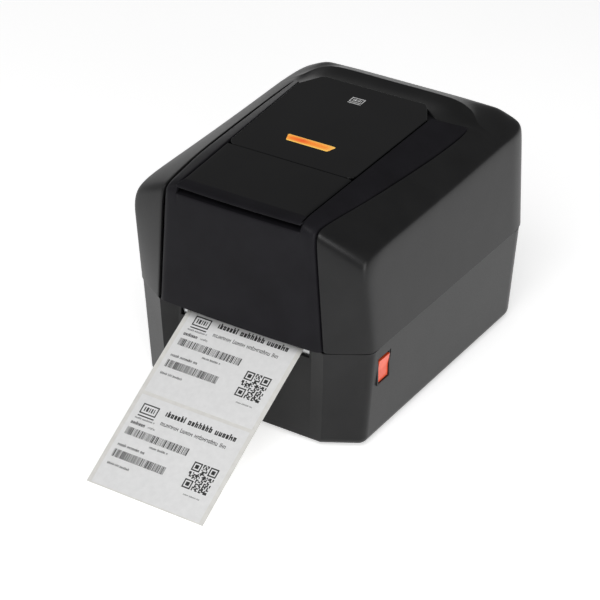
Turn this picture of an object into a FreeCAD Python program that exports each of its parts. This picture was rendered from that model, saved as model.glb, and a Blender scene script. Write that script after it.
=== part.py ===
import FreeCAD, Part
import math
import os
import re

import Sketcher

Vector = FreeCAD.Vector
Rotation = FreeCAD.Rotation
Placement = FreeCAD.Placement

# Desktop thermal-transfer label printer, clamshell type.
# Frame: +X to the machine's right, -Y to its front where the labels leave, +Z up.
# Origin: middle of the whole object's footprint, on the surface that it stands on.
# Millimetres throughout.

# ---------------------------------------------------------------- driving dimensions
SIZES = [
    ("side_x", 109.0, "half width of the cover at the split"),
    ("front_y", -68.5, "front panel at the split"),
    ("rear_y", 197.5, "back of the cover"),
    ("seam_z", 88.0, "split between base and cover"),
    ("seam_gap", 0.3, "each half stands this far off the split"),
    ("wall", 2.5, "moulded wall"),
    ("panel_x", 75.6, "half width of the front panel at the split"),
    ("panel_head_x", 68.3, "half width of the front panel at its head"),
    ("panel_head_y", -66.5, "front panel at its head"),
    ("panel_head_z", 186.3, "head of the front panel"),
    ("bevel_y", -48.2, "outer end of the front bevel at the split"),
    ("bevel_head_y", -59.0, "outer end of the front bevel at the cover's top"),
    ("cover_top_z", 215.0, "height that the cover's blanks reach"),
    ("side_head_x", 106.0, "half width of the cover's side walls at the blanks' top"),
    ("rear_corner", 20.0, "rear corner radius"),
    ("top_z", 195.6, "cover top at the front"),
    ("top_rise", 0.0608, "rise of the top for each millimetre backwards"),
    ("window_x", 55.0, "half width of the gloss panel at the front"),
    ("window_rear_x", 61.5, "half width of the gloss panel at its back"),
    ("window_rear_y", 129.5, "back edge of the gloss panel"),
    ("strip_x", 68.6, "outer edge of the top strip at the front"),
    ("strip_z", 191.0, "outer edge of the top strip at the front"),
    ("strip_rear_x", 84.0, "outer edge of the top strip at its back"),
    ("crease_z", 170.4, "side wall's top edge at the front"),
    ("crease_rise", 0.033, "rise of that edge for each millimetre backwards"),
    ("ridge_y", 157.5, "ridge behind the gloss panel"),
    ("ridge_z", 203.0, "height of that ridge"),
    ("rim_y", 190.0, "back edge of the rear slope"),
    ("rim_z", 189.5, "back edge of the rear slope"),
    ("scoop_radius", 27.0, "hollow between the gloss panel and the ridge"),
    ("key_y", 3.5, "joint between the feed key and the fixed window"),
    ("plate", 2.0, "gloss panel thickness"),
    ("line", 0.4, "shut line round a fitted piece"),
    ("base_bottom_z", 2.5, "underside of the base"),
    ("base_inset", 1.0, "base stands inside the cover by this much"),
    ("base_foot_x", 101.5, "half width of the base at the underside"),
    ("mouth_x", 77.0, "half width of the front scoop at its lips"),
    ("mouth_floor_x", 62.0, "half width of the front scoop's floor"),
    ("mouth_y", -60.5, "front scoop's floor at the split"),
    ("mouth_foot_y", -65.4, "front scoop's lip at the underside"),
    ("liner_x", 54.0, "half width of the liner"),
    ("label_x", 50.0, "half width of a label"),
    ("liner_thick", 0.2, "liner"),
    ("label_thick", 0.12, "label"),
    ("label_length", 80.0, "label"),
    ("label_gap", 3.0, "bare liner between labels"),
    ("nip_y", -48.0, "print line"),
    ("platen_z", 78.0, "platen axis"),
    ("platen_radius", 8.0, "rubber platen"),
    ("shaft_radius", 3.0, "platen shaft"),
    ("roll_y", 110.0, "label roll axis"),
    ("roll_z", 80.0, "label roll axis"),
    ("roll_radius", 52.0, "label roll"),
    ("core_radius", 12.7, "inside of every paper core"),
    ("core_wall", 2.0, "paper core wall"),
    ("bay_radius", 66.0, "media bay"),
    ("deck_z", 78.5, "deck beside and before the media bay"),
    ("deck_x", 88.0, "half width of the deck"),
    ("cheek_x", 60.0, "inner face of the platen cheeks"),
    ("sheet_metal", 1.5, "steel plates"),
    ("frame_x", 62.0, "inner face of the ribbon frame's side plates"),
    ("supply_y", 22.0, "ribbon supply axis"),
    ("supply_z", 158.0, "ribbon supply axis"),
    ("supply_radius", 25.0, "ribbon on the supply core"),
    ("takeup_y", -28.0, "ribbon take-up axis"),
    ("takeup_z", 162.0, "ribbon take-up axis"),
    ("takeup_radius", 20.0, "ribbon on the take-up core"),
    ("ribbon_x", 55.0, "half width of the ribbon"),
    ("ribbon_thick", 0.1, "ribbon"),
    ("hinge_y", 191.5, "cover hinge axis"),
    ("hinge_z", 94.0, "cover hinge axis"),
    ("hinge_radius", 6.0, "rolled rear edge of the cover"),
    ("hinge_x", 60.0, "middle of each hinge ear"),
    ("pin_radius", 1.5, "hinge pins"),
    ("latch_y", -52.0, "latch pivot"),
    ("latch_z", 125.0, "latch pivot"),
    ("latch_x", 67.0, "inner face of the latch arms"),
    ("catch_y", -26.0, "catch pins"),
    ("catch_z", 74.0, "catch pins"),
    ("head_pivot_y", -5.0, "print head bracket pivot"),
    ("head_pivot_z", 104.0, "print head bracket pivot"),
    ("switch_y", -28.5, "power switch"),
    ("switch_z", 66.0, "power switch"),
    ("tooth_module", 0.8, "gear module of both trains"),
    ("rack_module", 1.0, "gear module of the centring racks"),
    ("backlash", 0.2, "play between meshed teeth"),
    ("gear_width", 5.0, "face width of every gear"),
]

doc = FreeCAD.newDocument("label_printer")
sheet = doc.addObject("Spreadsheet::Sheet", "Sizes")
for row, (alias, number, note) in enumerate(SIZES, start=1):
    sheet.set(f"A{row}", alias)
    sheet.set(f"B{row}", str(number))
    sheet.set(f"C{row}", note)
    sheet.setAlias(f"B{row}", alias)
doc.recompute()

ALIASES = {alias for alias, _, _ in SIZES}
WORD = re.compile(r"[a-z][a-z_]*")


def size(alias):
    """A cell's number, for shapes that code works out."""
    return float(sheet.get(alias))


def formula(text):
    """Turn 'front_y + wall' into an expression on the sheet."""
    return WORD.sub(lambda found: "Sizes." + found.group() if found.group() in ALIASES else found.group(),
                    str(text))


def bind(item, **properties):
    """Bind properties to formulas; double underscores stand for dots."""
    for name, text in properties.items():
        item.setExpression(name.replace("__", "."), formula(text))
    return item


def place(item, x=0, y=0, z=0):
    return bind(item, Placement__Base__x=x, Placement__Base__y=y, Placement__Base__z=z)


# ---------------------------------------------------------------- building blocks
TURNED = {
    "x": Rotation(Vector(0, 1, 0), 90),
    "y": Rotation(Vector(1, 0, 0), -90),
    "z": Rotation(),
}
SKETCH_TURNED = {
    "xy": Rotation(),
    "xz": Rotation(Vector(1, 0, 0), 90),
    "yz": Rotation(Vector(1, 1, 1), 120),
}


def block(name, xs, ys, zs):
    """A box between two formulas along each axis."""
    item = doc.addObject("Part::Box", name)
    bind(item, Length=f"({xs[1]}) - ({xs[0]})", Width=f"({ys[1]}) - ({ys[0]})", Height=f"({zs[1]}) - ({zs[0]})")
    return place(item, xs[0], ys[0], zs[0])


def wide_block(name, half, ys, zs):
    return block(name, (f"-({half})", half), ys, zs)


def rod(name, axis, start, radius, length):
    """A cylinder from start along an axis."""
    item = doc.addObject("Part::Cylinder", name)
    item.Placement = Placement(Vector(), TURNED[axis])
    bind(item, Radius=radius, Height=length)
    return place(item, *start)


def wide_rod(name, half, y, z, radius):
    return rod(name, "x", (f"-({half})", y, z), radius, f"2 * ({half})")


def profile(name, plane, points, level="0"):
    """A closed sketch whose every corner is bound to formulas."""
    sketch = doc.addObject("Sketcher::SketchObject", name)
    sketch.Placement = Placement(Vector(), SKETCH_TURNED[plane])
    count = len(points)
    ring = [Vector(20 * math.cos(math.tau * i / count), 20 * math.sin(math.tau * i / count), 0) for i in range(count)]
    for i in range(count):
        sketch.addGeometry(Part.LineSegment(ring[i], ring[(i + 1) % count]), False)
    for i in range(count):
        sketch.addConstraint(Sketcher.Constraint("Coincident", i, 2, (i + 1) % count, 1))
    for i, corner in enumerate(points):
        for kind, text in zip(("DistanceX", "DistanceY"), corner):
            index = sketch.addConstraint(Sketcher.Constraint(kind, -1, 1, i, 1, 1.0))
            label = f"{kind}{i}"
            sketch.renameConstraint(index, label)
            sketch.setExpression(f"Constraints.{label}", formula(text))
    level_axis = {"xy": "z", "xz": "y", "yz": "x"}[plane]
    return bind(sketch, **{f"Placement__Base__{level_axis}": level})


def prism(name, plane, points, start, length):
    """A sketch pushed along its plane's axis; an xz sketch is pushed towards the front."""
    item = doc.addObject("Part::Extrusion", name)
    item.Base = profile(name + "_outline", plane, points, start)
    item.DirMode = "Normal"
    item.Solid = True
    return bind(item, LengthFwd=length)


def mirror_points(points):
    """Add the other half of an outline that is symmetric in x."""
    return points + [(f"-({x})", y) for x, y in reversed(points)]


def loft(name, *sketches):
    item = doc.addObject("Part::Loft", name)
    item.Sections = list(sketches)
    item.Solid = True
    item.Ruled = True
    return item


def cut(name, base, *tools):
    item = doc.addObject("Part::Cut", name)
    item.Base = base
    item.Tool = tools[0] if len(tools) == 1 else fuse(name + "_tools", *tools)
    return item


def fuse(name, *items):
    item = doc.addObject("Part::MultiFuse", name)
    item.Shapes = list(items)
    return item


def common(name, *items):
    item = doc.addObject("Part::MultiCommon", name)
    item.Shapes = list(items)
    return item


def group(name, *items):
    """Separate solids kept as one piece."""
    item = doc.addObject("Part::Compound", name)
    item.Links = list(items)
    return item


def rounded(name, base, radius, wanted):
    """Fillet the edges that a test picks."""
    doc.recompute()
    item = doc.addObject("Part::Fillet", name)
    item.Base = base
    item.Edges = [(i, radius, radius) for i, edge in enumerate(base.Shape.Edges, start=1) if wanted(edge)]
    return item


def middle(edge):
    return edge.valueAt((edge.FirstParameter + edge.LastParameter) / 2)


def run(edge):
    """Unit direction from an edge's first end to its last."""
    ends = edge.valueAt(edge.LastParameter) - edge.valueAt(edge.FirstParameter)
    return ends.normalize() if ends.Length > 1e-6 else ends


pieces = []


def piece(label, item):
    """Keep an object as a sub-part under the name of its node."""
    item.Label = label
    pieces.append(item)
    return item


def coded(label, shape, base=Vector(), rotation=None):
    """A sub-part whose shape code works out from the sheet."""
    item = doc.addObject("Part::Feature", label)
    item.Shape = shape
    item.Placement = Placement(base, rotation or Rotation())
    return item


# ---------------------------------------------------------------- outer forms
def upright(edge):
    return abs(run(edge).z) > 0.9 and edge.Length > 20


def top_at(y, drop=0):
    """Formula for the height of the cover's top at y."""
    return f"top_z + top_rise * (({y}) - front_y) - ({drop})"


def crease_at(y):
    return f"crease_z + crease_rise * (({y}) - front_y)"


def inset_mm(inset):
    return size(inset) if inset in ALIASES else float(inset)


def soften(name, walls, corner, cheek):
    """Round the upright edges of a half: wide at the back, small at the bevels and the front panel."""
    back = rounded(name + "_back", walls, corner, lambda edge: upright(edge) and middle(edge).y > 150)
    bevels = rounded(name + "_bevels", back, 9.0,
                     lambda edge: upright(edge) and -60 < middle(edge).y < -40
                     and abs(middle(edge).x) > size("panel_x") + 8 and edge.Length > 60)
    if not cheek:
        return bevels
    return rounded(name + "_cheeks", bevels, cheek,
                   lambda edge: upright(edge) and middle(edge).y < -60 and edge.Length > 60)


def cover_solid(name, inset):
    """The cover as a solid block, every face moved in by inset."""
    def plan(tag, panel, panel_y, bevel_y, side, level):
        points = [
            (f"{panel} - 0.3 * {inset}", f"{panel_y} + {inset}"),
            (f"{side} - {inset}", f"{bevel_y} + 0.9 * {inset}"),
            (f"{side} - {inset}", f"rear_y - {inset}"),
        ]
        return profile(f"{name}_plan_{tag}", "xy", mirror_points(points), level)

    foot = plan("foot", "panel_x", "front_y", "bevel_y", "side_x", "seam_z + seam_gap - 2 * (" + inset + ")")
    head = plan("head", "panel_head_x - 2", "panel_head_y + 0.6", "bevel_head_y", "side_head_x", "cover_top_z")

    def section(tag, y, window, strip, strip_z):
        points = [
            ("side_x + 5", "seam_z - 20"),
            ("side_x + 5", f"{crease_at(y)} - 4 - {inset}"),
            (strip, f"{strip_z} - {inset}"),
            (window, f"{top_at(y)} - {inset}"),
        ]
        return profile(f"{name}_section_{tag}", "xz", mirror_points(points), y)

    front = section("front", "front_y - 5", "window_x", "strip_x", "strip_z")
    rear = section("rear", "rear_y + 5", "window_rear_x + 2.2", "strip_rear_x + 8", "strip_z")
    spine = [
        ("front_y - 10", f"top_z - 28 - {inset}"),
        ("front_y + 3", f"top_z - 5 - {inset}"),
        ("front_y + 7", f"top_z - 1.2 - {inset}"),
        ("front_y + 12", f"{top_at('front_y + 12')} - {inset}"),
        ("window_rear_y", f"{top_at('window_rear_y')} - {inset}"),
        ("ridge_y", f"ridge_z - {inset}"),
        ("rim_y - 0.5 * " + inset, f"rim_z - {inset}"),
        ("rear_y + 10", f"rim_z - 6 - {inset}"),
        ("rear_y + 10", "seam_z - 20"),
        ("front_y - 10", "seam_z - 20"),
    ]
    side_view = prism(name + "_spine", "yz", spine, "-side_x - 10", "2 * side_x + 20")
    walls = soften(name, loft(name + "_walls", foot, head), size("rear_corner") - inset_mm(inset), 5.0)
    return common(name, walls, loft(name + "_roof", front, rear), side_view)


def base_solid(name, inset, floor, head):
    """The base as a solid block, every wall moved in by inset."""
    def plan(tag, panel, front, bevel_y, side, rear, level):
        points = [
            (f"{panel} - 0.3 * {inset}", f"{front} + {inset}"),
            (f"{side} - {inset}", f"{bevel_y} + 0.9 * {inset}"),
            (f"{side} - {inset}", f"{rear} - {inset}"),
        ]
        return profile(f"{name}_plan_{tag}", "xy", mirror_points(points), level)

    foot = plan("foot", "panel_x - 4", "front_y + 2.2", "bevel_y - 1", "base_foot_x", "rear_y - 3", floor)
    top = plan("head", "panel_x - base_inset", "front_y + base_inset", "bevel_y + 0.8",
               "side_x - base_inset", "rear_y - base_inset", head)
    return soften(name, loft(name, foot, top), size("rear_corner") - inset_mm(inset), 0)


# ---------------------------------------------------------------- cover
def top_slab(name, outline, drop, thickness):
    """A plate under the cover's top plane, cut to an outline in plan."""
    slab = prism(name + "_slab", "yz", [
        ("front_y - 5", top_at("front_y - 5", drop)),
        ("window_rear_y + 5", top_at("window_rear_y + 5", drop)),
        ("window_rear_y + 5", f"{top_at('window_rear_y + 5', drop)} - ({thickness})"),
        ("front_y - 5", f"{top_at('front_y - 5', drop)} - ({thickness})"),
    ], "-side_x", "2 * side_x")
    plan = prism(name + "_plan", "xy", mirror_points(outline), "seam_z + 80", "cover_top_z - seam_z - 80")
    return common(name, slab, plan)


def gloss_x(y, inset="0"):
    """Half width of the gloss panel at y."""
    return f"window_x + (window_rear_x - window_x) * ({y} - front_y) / (window_rear_y - front_y) - {inset}"


def window_outline(inset, front):
    return [
        (gloss_x(front, inset), front),
        (gloss_x("window_rear_y - 20", inset), f"window_rear_y - 20 - 0.4 * {inset}"),
        (f"window_rear_x - 13.5 - 0.6 * {inset}", f"window_rear_y - {inset}"),
    ]


def front_region(name, gap):
    """The space of the front panel and its two top strips, grown by gap."""
    face = prism(name + "_face", "xz", mirror_points([
        (f"panel_x + {gap}", "seam_z - 1"),
        (f"panel_head_x + {gap}", "panel_head_z"),
        (f"panel_head_x + {gap}", "cover_top_z"),
    ]), "front_y + 9.5", "30")
    strips = prism(name + "_strips", "xy", mirror_points([
        (f"strip_x - 0.4 + {gap}", "front_y - 5"),
        (f"strip_x - 0.4 + {gap}", "front_y + 11"),
        (f"strip_x + 7.4 + {gap}", "front_y + 58"),
        (f"strip_rear_x + {gap}", "front_y + 168"),
        (f"strip_rear_x + 6 + {gap}", f"window_rear_y - 5 + {gap}"),
        (f"window_rear_x - 3", f"window_rear_y - 15 + {gap}"),
        (f"window_rear_x - 13", f"window_rear_y + {gap}"),
    ]), "panel_head_z - 9", "60")
    return fuse(name, face, strips)


# The hollow cover: everything between the outer form and a form one wall further in.
cover_outer = cover_solid("cover_outer", "0")
cover_inner = cover_solid("cover_inner", "wall")
scoop = wide_rod("scoop", "side_x - 14", "(window_rear_y + ridge_y) / 2", "ridge_z + 26.3", "scoop_radius")
scoop_floor = wide_rod("scoop_floor", "side_x - 10", "(window_rear_y + ridge_y) / 2", "ridge_z + 26.3",
                       "scoop_radius + wall")
cover_form = cut("cover_form", cover_outer, scoop)
cover_hollow = cut("cover_hollow", cover_inner, scoop_floor)
rolled_edge = cut(
    "rolled_edge",
    wide_block("hinge_waste", "side_x + 5", ("hinge_y", "rear_y + 5"), ("seam_z - 5", "hinge_z")),
    wide_rod("hinge_roll", "side_x + 5", "hinge_y", "hinge_z", "hinge_radius"),
)
cover_wall = cut("cover_wall", cover_form, cover_hollow, rolled_edge)

# Posts under the top carry the ribbon frame; knuckles at the back turn on the hinge pins.
def posts(name, radius, places, zs):
    return fuse(name, *[
        rod(f"{name}_{i}", "z", (x, y, zs[0]), radius, f"({zs[1]}) - ({zs[0]})")
        for i, (x, y) in enumerate(places)
    ])


FRAME_POSTS = [(side + "84", y) for side in ("-", "") for y in ("0", "40")]
frame_posts = common("frame_posts", posts("post_blanks", "4", FRAME_POSTS, ("172", "cover_top_z")), cover_form)
EAR_GAPS = [("-hinge_x - 3.4", "-hinge_x + 3.4"), ("hinge_x - 3.4", "hinge_x + 3.4")]
knuckle_bar = cut(
    "knuckle_bar",
    fuse("knuckle_blank",
         wide_rod("knuckle_round", "hinge_x + 14", "hinge_y", "hinge_z", "hinge_radius"),
         wide_block("knuckle_root", "hinge_x + 14", ("hinge_y - hinge_radius", "rear_y - 1"),
                    ("hinge_z", "hinge_z + 7"))),
    wide_block("knuckle_gap", "hinge_x - 14", ("hinge_y - 10", "rear_y + 5"), ("seam_z", "hinge_z + 10")),
)
ear_notches = fuse("ear_notches", *[
    block(f"ear_notch_{i}", xs, ("hinge_y - 8", "rear_y + 5"), ("seam_z - 2", "hinge_z + 6.6"))
    for i, xs in enumerate(EAR_GAPS)
])
pin_bores = wide_rod("pin_bores", "hinge_x + 12", "hinge_y", "hinge_z", "pin_radius + 0.03")
cover_shell = cut(
    "cover_shell_form",
    fuse("cover_with_posts", cut("cover_less_front", cover_wall, front_region("front_space", "line")),
         frame_posts, knuckle_bar),
    ear_notches, pin_bores,
)
piece("cover_shell", cover_shell)

# Front panel with its two top strips; the window and the feed key lie between the strips.
window_pocket = top_slab("window_pocket", window_outline("0", "key_y - line / 2"), "-1", "plate + 1")
window_hole = top_slab("window_hole", window_outline("3.5", "key_y + 6"), "-2", "30")
key_hole = top_slab("key_hole", [(gloss_x("front_y - 3"), "front_y - 3"), (gloss_x("key_y"), "key_y")],
                    "-8", "19")
finger_gap = wide_block("finger_gap", "window_x + 2", ("front_y - 5", "front_y + 12"),
                        ("panel_head_z + 1.2", "top_z + 2"))
board_ribs = common("board_ribs", cover_form, front_region("rib_limit", "-2"), fuse("rib_blanks", *[
    block(f"rib_{i}", xs, ys, (low, "cover_top_z"))
    for i, (xs, ys, low) in enumerate([
        (("-62.5", "-59.5"), ("10", "46"), "193.5"), (("59.5", "62.5"), ("10", "46"), "193.5"),
        (("-62.5", "-59.5"), ("-46", "-34"), "186.5"), (("59.5", "62.5"), ("-46", "-34"), "186.5"),
    ])
]))
front_cover = cut(
    "front_cover_form",
    fuse("front_with_ribs",
         common("front_wall", cut("front_shell", cover_form, cover_hollow), front_region("front_fill", "0")),
         board_ribs),
    window_pocket, window_hole, key_hole, finger_gap,
)
piece("front_cover", front_cover)

# Status lens: a tapered bar set flush in the window.
LENS = [("19", "key_y + 26"), ("22", "key_y + 34")]
lens_hole = top_slab("lens_hole", LENS, "-2", "30")
window_panel = cut(
    "window_form",
    top_slab("window_blank", window_outline("line / 2", "key_y + line / 2"), "0", "plate - 0.02"),
    lens_hole,
)
piece("window_panel", window_panel)
piece("status_lens", top_slab("lens_body", LENS, "0", "plate + 1.5"))

# Feed key: a thin flap hinged at its back edge, with a rolled lip at the front.
key_plate = top_slab("key_plate", [
    (gloss_x("front_y + 1.2", "line"), "front_y + 1.2"),
    (gloss_x("key_y - line / 2", "line"), "key_y - line / 2"),
], "0", "plate")
key_lip = wide_block("key_lip", "window_x - 1", ("front_y + 1.2", "front_y + 4.2"), ("top_z - 2.8", "top_z - 0.6"))
key_ribs = fuse("key_ribs", *[
    block(f"key_rib_{i}", (x, f"{x} + 1.5"), ("-56", "key_y - 4"), ("top_z - 3.2", "top_z - 0.4"))
    for i, x in enumerate(("-40", "-0.75", "38.5"))
])
key_hinge = wide_rod("key_hinge", "window_x - 6", "key_y - 2.5", "top_z + 1.2", "1.5")
feed_key = fuse("feed_key_form", key_plate, key_lip, key_ribs, key_hinge)
piece("feed_key", feed_key)


# ---------------------------------------------------------------- base
base_outer = base_solid("base_outer", "0", "base_bottom_z", "seam_z - seam_gap")
base_inner = base_solid("base_inner", "wall", "base_bottom_z + wall", "seam_z + 2")


def mouth(name, inset):
    """The front scoop below the label slot: shallow at the foot, deep at the split."""
    def section(tag, lip_y, floor_y, level):
        return profile(f"{name}_{tag}", "xy", mirror_points([
            (f"mouth_x + {inset}", "front_y - 8"),
            (f"mouth_x + {inset}", f"{lip_y} + {inset}"),
            (f"mouth_floor_x + {inset}", f"{floor_y} + {inset}"),
        ]), level)
    return loft(name, section("foot", "mouth_foot_y - 0.6", "mouth_foot_y", "base_bottom_z - 1"),
                section("head", "front_y + 1.6", "mouth_y", "seam_z + 2"))


base_foot = rounded("base_foot", base_outer, 7.0,
                    lambda edge: abs(middle(edge).z - size("base_bottom_z")) < 0.5)
base_tub = cut("base_tub", base_foot, common("base_hollow", base_inner, cut(
    "base_hollow_space", wide_block("base_hollow_box", "side_x", ("front_y - 8", "rear_y"), ("0", "seam_z + 3")),
    mouth("mouth_inner", "wall"))))
BOSSES = [(side + "80", y) for side in ("-", "") for y in ("10", "150")]
base_bosses = posts("base_bosses", "5", BOSSES, ("base_bottom_z + 1", "14"))
EARS = [("-hinge_x - 3", "-hinge_x + 3"), ("hinge_x - 3", "hinge_x + 3")]
ears = fuse("ears", *[
    fuse(f"ear_{i}",
         block(f"ear_root_{i}", xs, ("hinge_y - 5", "hinge_y + 4.6"), ("60", "hinge_z")),
         rod(f"ear_round_{i}", "x", (xs[0], "hinge_y", "hinge_z"), "5.2", "6"))
    for i, xs in enumerate(EARS)
])
ear_bores = wide_rod("ear_bores", "hinge_x + 12", "hinge_y", "hinge_z", "pin_radius")

# Openings: label slot, fan-fold slot, sockets, power switch, screws.
label_slot = wide_block("label_slot", "mouth_floor_x - 2", ("front_y - 8", "nip_y - 9"), ("76", "seam_z + 2"))
fanfold_slot = wide_block("fanfold_slot", "58", ("rear_y - 12", "rear_y + 2"), ("79", "85"))
SOCKETS = {
    "power_inlet": (("-84.5", "-73.5"), ("28", "39")),
    "usb_port": (("-60", "-48"), ("26", "37")),
    "serial_port": (("-34", "-3"), ("26", "38.5")),
    "ethernet_port": (("12", "28"), ("25", "38.5")),
}
socket_holes = fuse("socket_holes", *[
    block(name + "_hole", (f"{xs[0]} - 0.3", f"{xs[1]} + 0.3"), ("185", "rear_y + 2"),
          (f"{zs[0]} - 0.3", f"{zs[1]} + 0.3"))
    for name, (xs, zs) in SOCKETS.items()
])
switch_hole = block("switch_hole", ("96", "side_x"), ("switch_y - 9.5", "switch_y + 9.5"),
                    ("switch_z - 12.5", "switch_z + 12.5"))
screw_holes = posts("screw_holes", "1.6", BOSSES, ("0", "20"))
screw_sinks = posts("screw_sinks", "3.1", BOSSES, ("0", "6"))
base_shell = cut(
    "base_form",
    fuse("base_with_bosses", cut("base_scooped", base_tub, mouth("mouth_outer", "0")), base_bosses, ears),
    label_slot, fanfold_slot, socket_holes, switch_hole, screw_holes, screw_sinks, ear_bores,
)
piece("base_shell", base_shell)

FEET = [(side + "78", y) for side in ("-", "") for y in ("-36", "172")]
piece("rubber_feet", group("feet", *[
    rod(f"foot_{i}", "z", (x, y, "0"), "7.5", "base_bottom_z") for i, (x, y) in enumerate(FEET)
]))
piece("case_screws", group("screws", *[
    fuse(f"screw_{i}", rod(f"screw_head_{i}", "z", (x, y, "3"), "2.9", "2.9"),
         rod(f"screw_shank_{i}", "z", (x, y, "5"), "1.5", "16"))
    for i, (x, y) in enumerate(BOSSES)
]))
piece("hinge_pins", group("pins", *[
    rod(f"hinge_pin_{i}", "x", (f"{side} - 11", "hinge_y", "hinge_z"), "pin_radius", "22")
    for i, side in enumerate(("-hinge_x", "hinge_x"))
]))

# ---------------------------------------------------------------- media bay and paper path
bay_outer = cut(
    "bay_outer",
    wide_rod("bay_drum", "deck_x", "roll_y", "roll_z", "bay_radius + wall"),
    wide_block("above_deck", "deck_x + 1", ("0", "rear_y"), ("deck_z", "deck_z + 100")),
)
deck = fuse(
    "deck",
    wide_block("deck_rear", "deck_x", ("-10", "roll_y + bay_radius + 2"), ("deck_z - wall", "deck_z")),
    wide_block("deck_front", "cheek_x + wall", ("-37", "-9"), ("deck_z - wall", "deck_z")),
    block("cheek_left", ("-cheek_x - wall", "-cheek_x"), ("-57", "-10"), ("62", "86")),
    block("cheek_right", ("cheek_x", "cheek_x + wall"), ("-57", "-10"), ("62", "86")),
)
chassis_feet = fuse("chassis_feet", posts("front_feet", "4.5", [("-80", "10"), ("80", "10")], ("14", "deck_z - 1")),
                    posts("rear_feet", "4.5", [("-80", "150"), ("80", "150")], ("14", "30")))
bay_hollow = wide_rod("bay_hollow", "deck_x - wall", "roll_y", "roll_z", "bay_radius")
holder_rail = wide_block("holder_rail", "deck_x - wall", ("98", "122"), ("13", "17"))
bushing_holes = wide_rod("bushing_holes", "cheek_x + 10", "nip_y", "platen_z", "shaft_radius + 2")
pin_holes = wide_rod("pin_holes", "cheek_x + 10", "catch_y", "catch_z", "2")
rail_holes = wide_rod("rail_holes", "cheek_x + 10", "-20", "81.5", "1.5")
chassis_screw_holes = posts("chassis_screw_holes", "1.5", BOSSES, ("10", "22"))
piece("media_chassis", cut(
    "chassis_form",
    fuse("chassis_solid", cut("chassis_hollowed", fuse("chassis_blank", bay_outer, deck, chassis_feet), bay_hollow),
         holder_rail),
    bushing_holes, pin_holes, rail_holes, chassis_screw_holes,
))
piece("catch_pins", group("catch_pair", *[
    rod(f"catch_pin_{i}", "x", (x, "catch_y", "catch_z"), "2", "11.5")
    for i, x in enumerate(("-cheek_x - 11.5", "cheek_x"))
]))

# Liner: off the roll, over the platen, down the front to the table.
LEAVE_ANGLE = math.radians(29.0)      # slope where the liner leaves the platen
END_Y = -197.5                        # where its end meets the table
STAND_OFF = 0.3                       # film and paper clear the rollers by this much


def tangent_point(point, centre, radius, side):
    """Where a line from point touches a circle in the yz plane."""
    reach = centre - point
    tilt = math.atan2(reach.z, reach.y) + side * math.asin(radius / reach.Length)
    length = math.sqrt(reach.Length ** 2 - radius ** 2)
    return point + Vector(0, length * math.cos(tilt), length * math.sin(tilt))


def liner_points():
    wrap = size("platen_radius") + STAND_OFF
    nip = Vector(0, size("nip_y"), size("platen_z") + wrap)
    lead = Vector(0, 4.0, nip.z)
    roll_axis = Vector(0, size("roll_y"), size("roll_z"))
    points = [tangent_point(lead, roll_axis, size("roll_radius") + STAND_OFF, 1), lead]
    for step in range(6):
        angle = LEAVE_ANGLE * step / 5
        points.append(nip + Vector(0, -wrap * math.sin(angle), -wrap * (1 - math.cos(angle))))
    leave = points[-1]
    run_out = leave.y - END_Y
    droop = (leave.z - math.tan(LEAVE_ANGLE) * run_out) / run_out ** 2
    for step in range(1, 17):
        ahead = run_out * step / 16
        points.append(Vector(0, leave.y - ahead, leave.z - math.tan(LEAVE_ANGLE) * ahead - droop * ahead ** 2))
    return points


def stretch(points, start, stop):
    """The part of a line of points between two lengths measured from its last point."""
    kept, travelled = [], 0.0
    back = points[::-1]
    for here, there in zip(back, back[1:]):
        span = (there - here).Length
        for mark in (start, stop):
            if travelled <= mark < travelled + span:
                kept.append(here + (there - here) * ((mark - travelled) / span))
        travelled += span
        if start < travelled < stop:
            kept.append(there)
    return kept[::-1]


def lift(points, height):
    """Move a line of points off itself, towards the side that faces up."""
    raised = []
    for i, point in enumerate(points):
        along = (points[min(i + 1, len(points) - 1)] - points[max(i - 1, 0)]).normalize()
        raised.append(point + Vector(0, along.z, -along.y) * height)
    return raised


def band(points, half, thickness):
    """A thin band across the machine, lying on a line of points."""
    ring = points + lift(points, thickness)[::-1]
    face = Part.Face(Part.makePolygon(ring + ring[:1]))
    face.translate(Vector(-half, 0, 0))
    return face.extrude(Vector(2 * half, 0, 0))


liner = liner_points()
liner_length = sum((b - a).Length for a, b in zip(liner, liner[1:]))
piece("label_liner", coded("label_liner", band(liner, size("liner_x"), size("liner_thick"))))
liner_face = lift(liner, size("liner_thick"))
pitch = size("label_length") + size("label_gap")
labels = []
first_margin = 1.2
while first_margin + size("label_length") < liner_length:
    laid = stretch(liner_face, first_margin, first_margin + size("label_length"))
    labels.append(band(laid, size("label_x"), size("label_thick")))
    first_margin += pitch
piece("printed_labels", coded("printed_labels", Part.makeCompound(labels)))


def tube(name, half, y, z, outer, inner):
    return cut(name, wide_rod(name + "_outer", half, y, z, outer),
               wide_rod(name + "_inner", f"{half} + 2", y, z, inner))


piece("label_roll", tube("roll_paper", "liner_x", "roll_y", "roll_z", "roll_radius", "core_radius + core_wall"))
piece("roll_core", tube("roll_tube", "liner_x + 1", "roll_y", "roll_z", "core_radius + core_wall", "core_radius"))

# ---------------------------------------------------------------- gears and racks
PRESSURE = math.radians(20)


def involute_angle(base, radius):
    """Angle that an involute has turned by when it reaches a radius."""
    lean = math.acos(min(1.0, base / radius))
    return math.tan(lean) - lean


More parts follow.
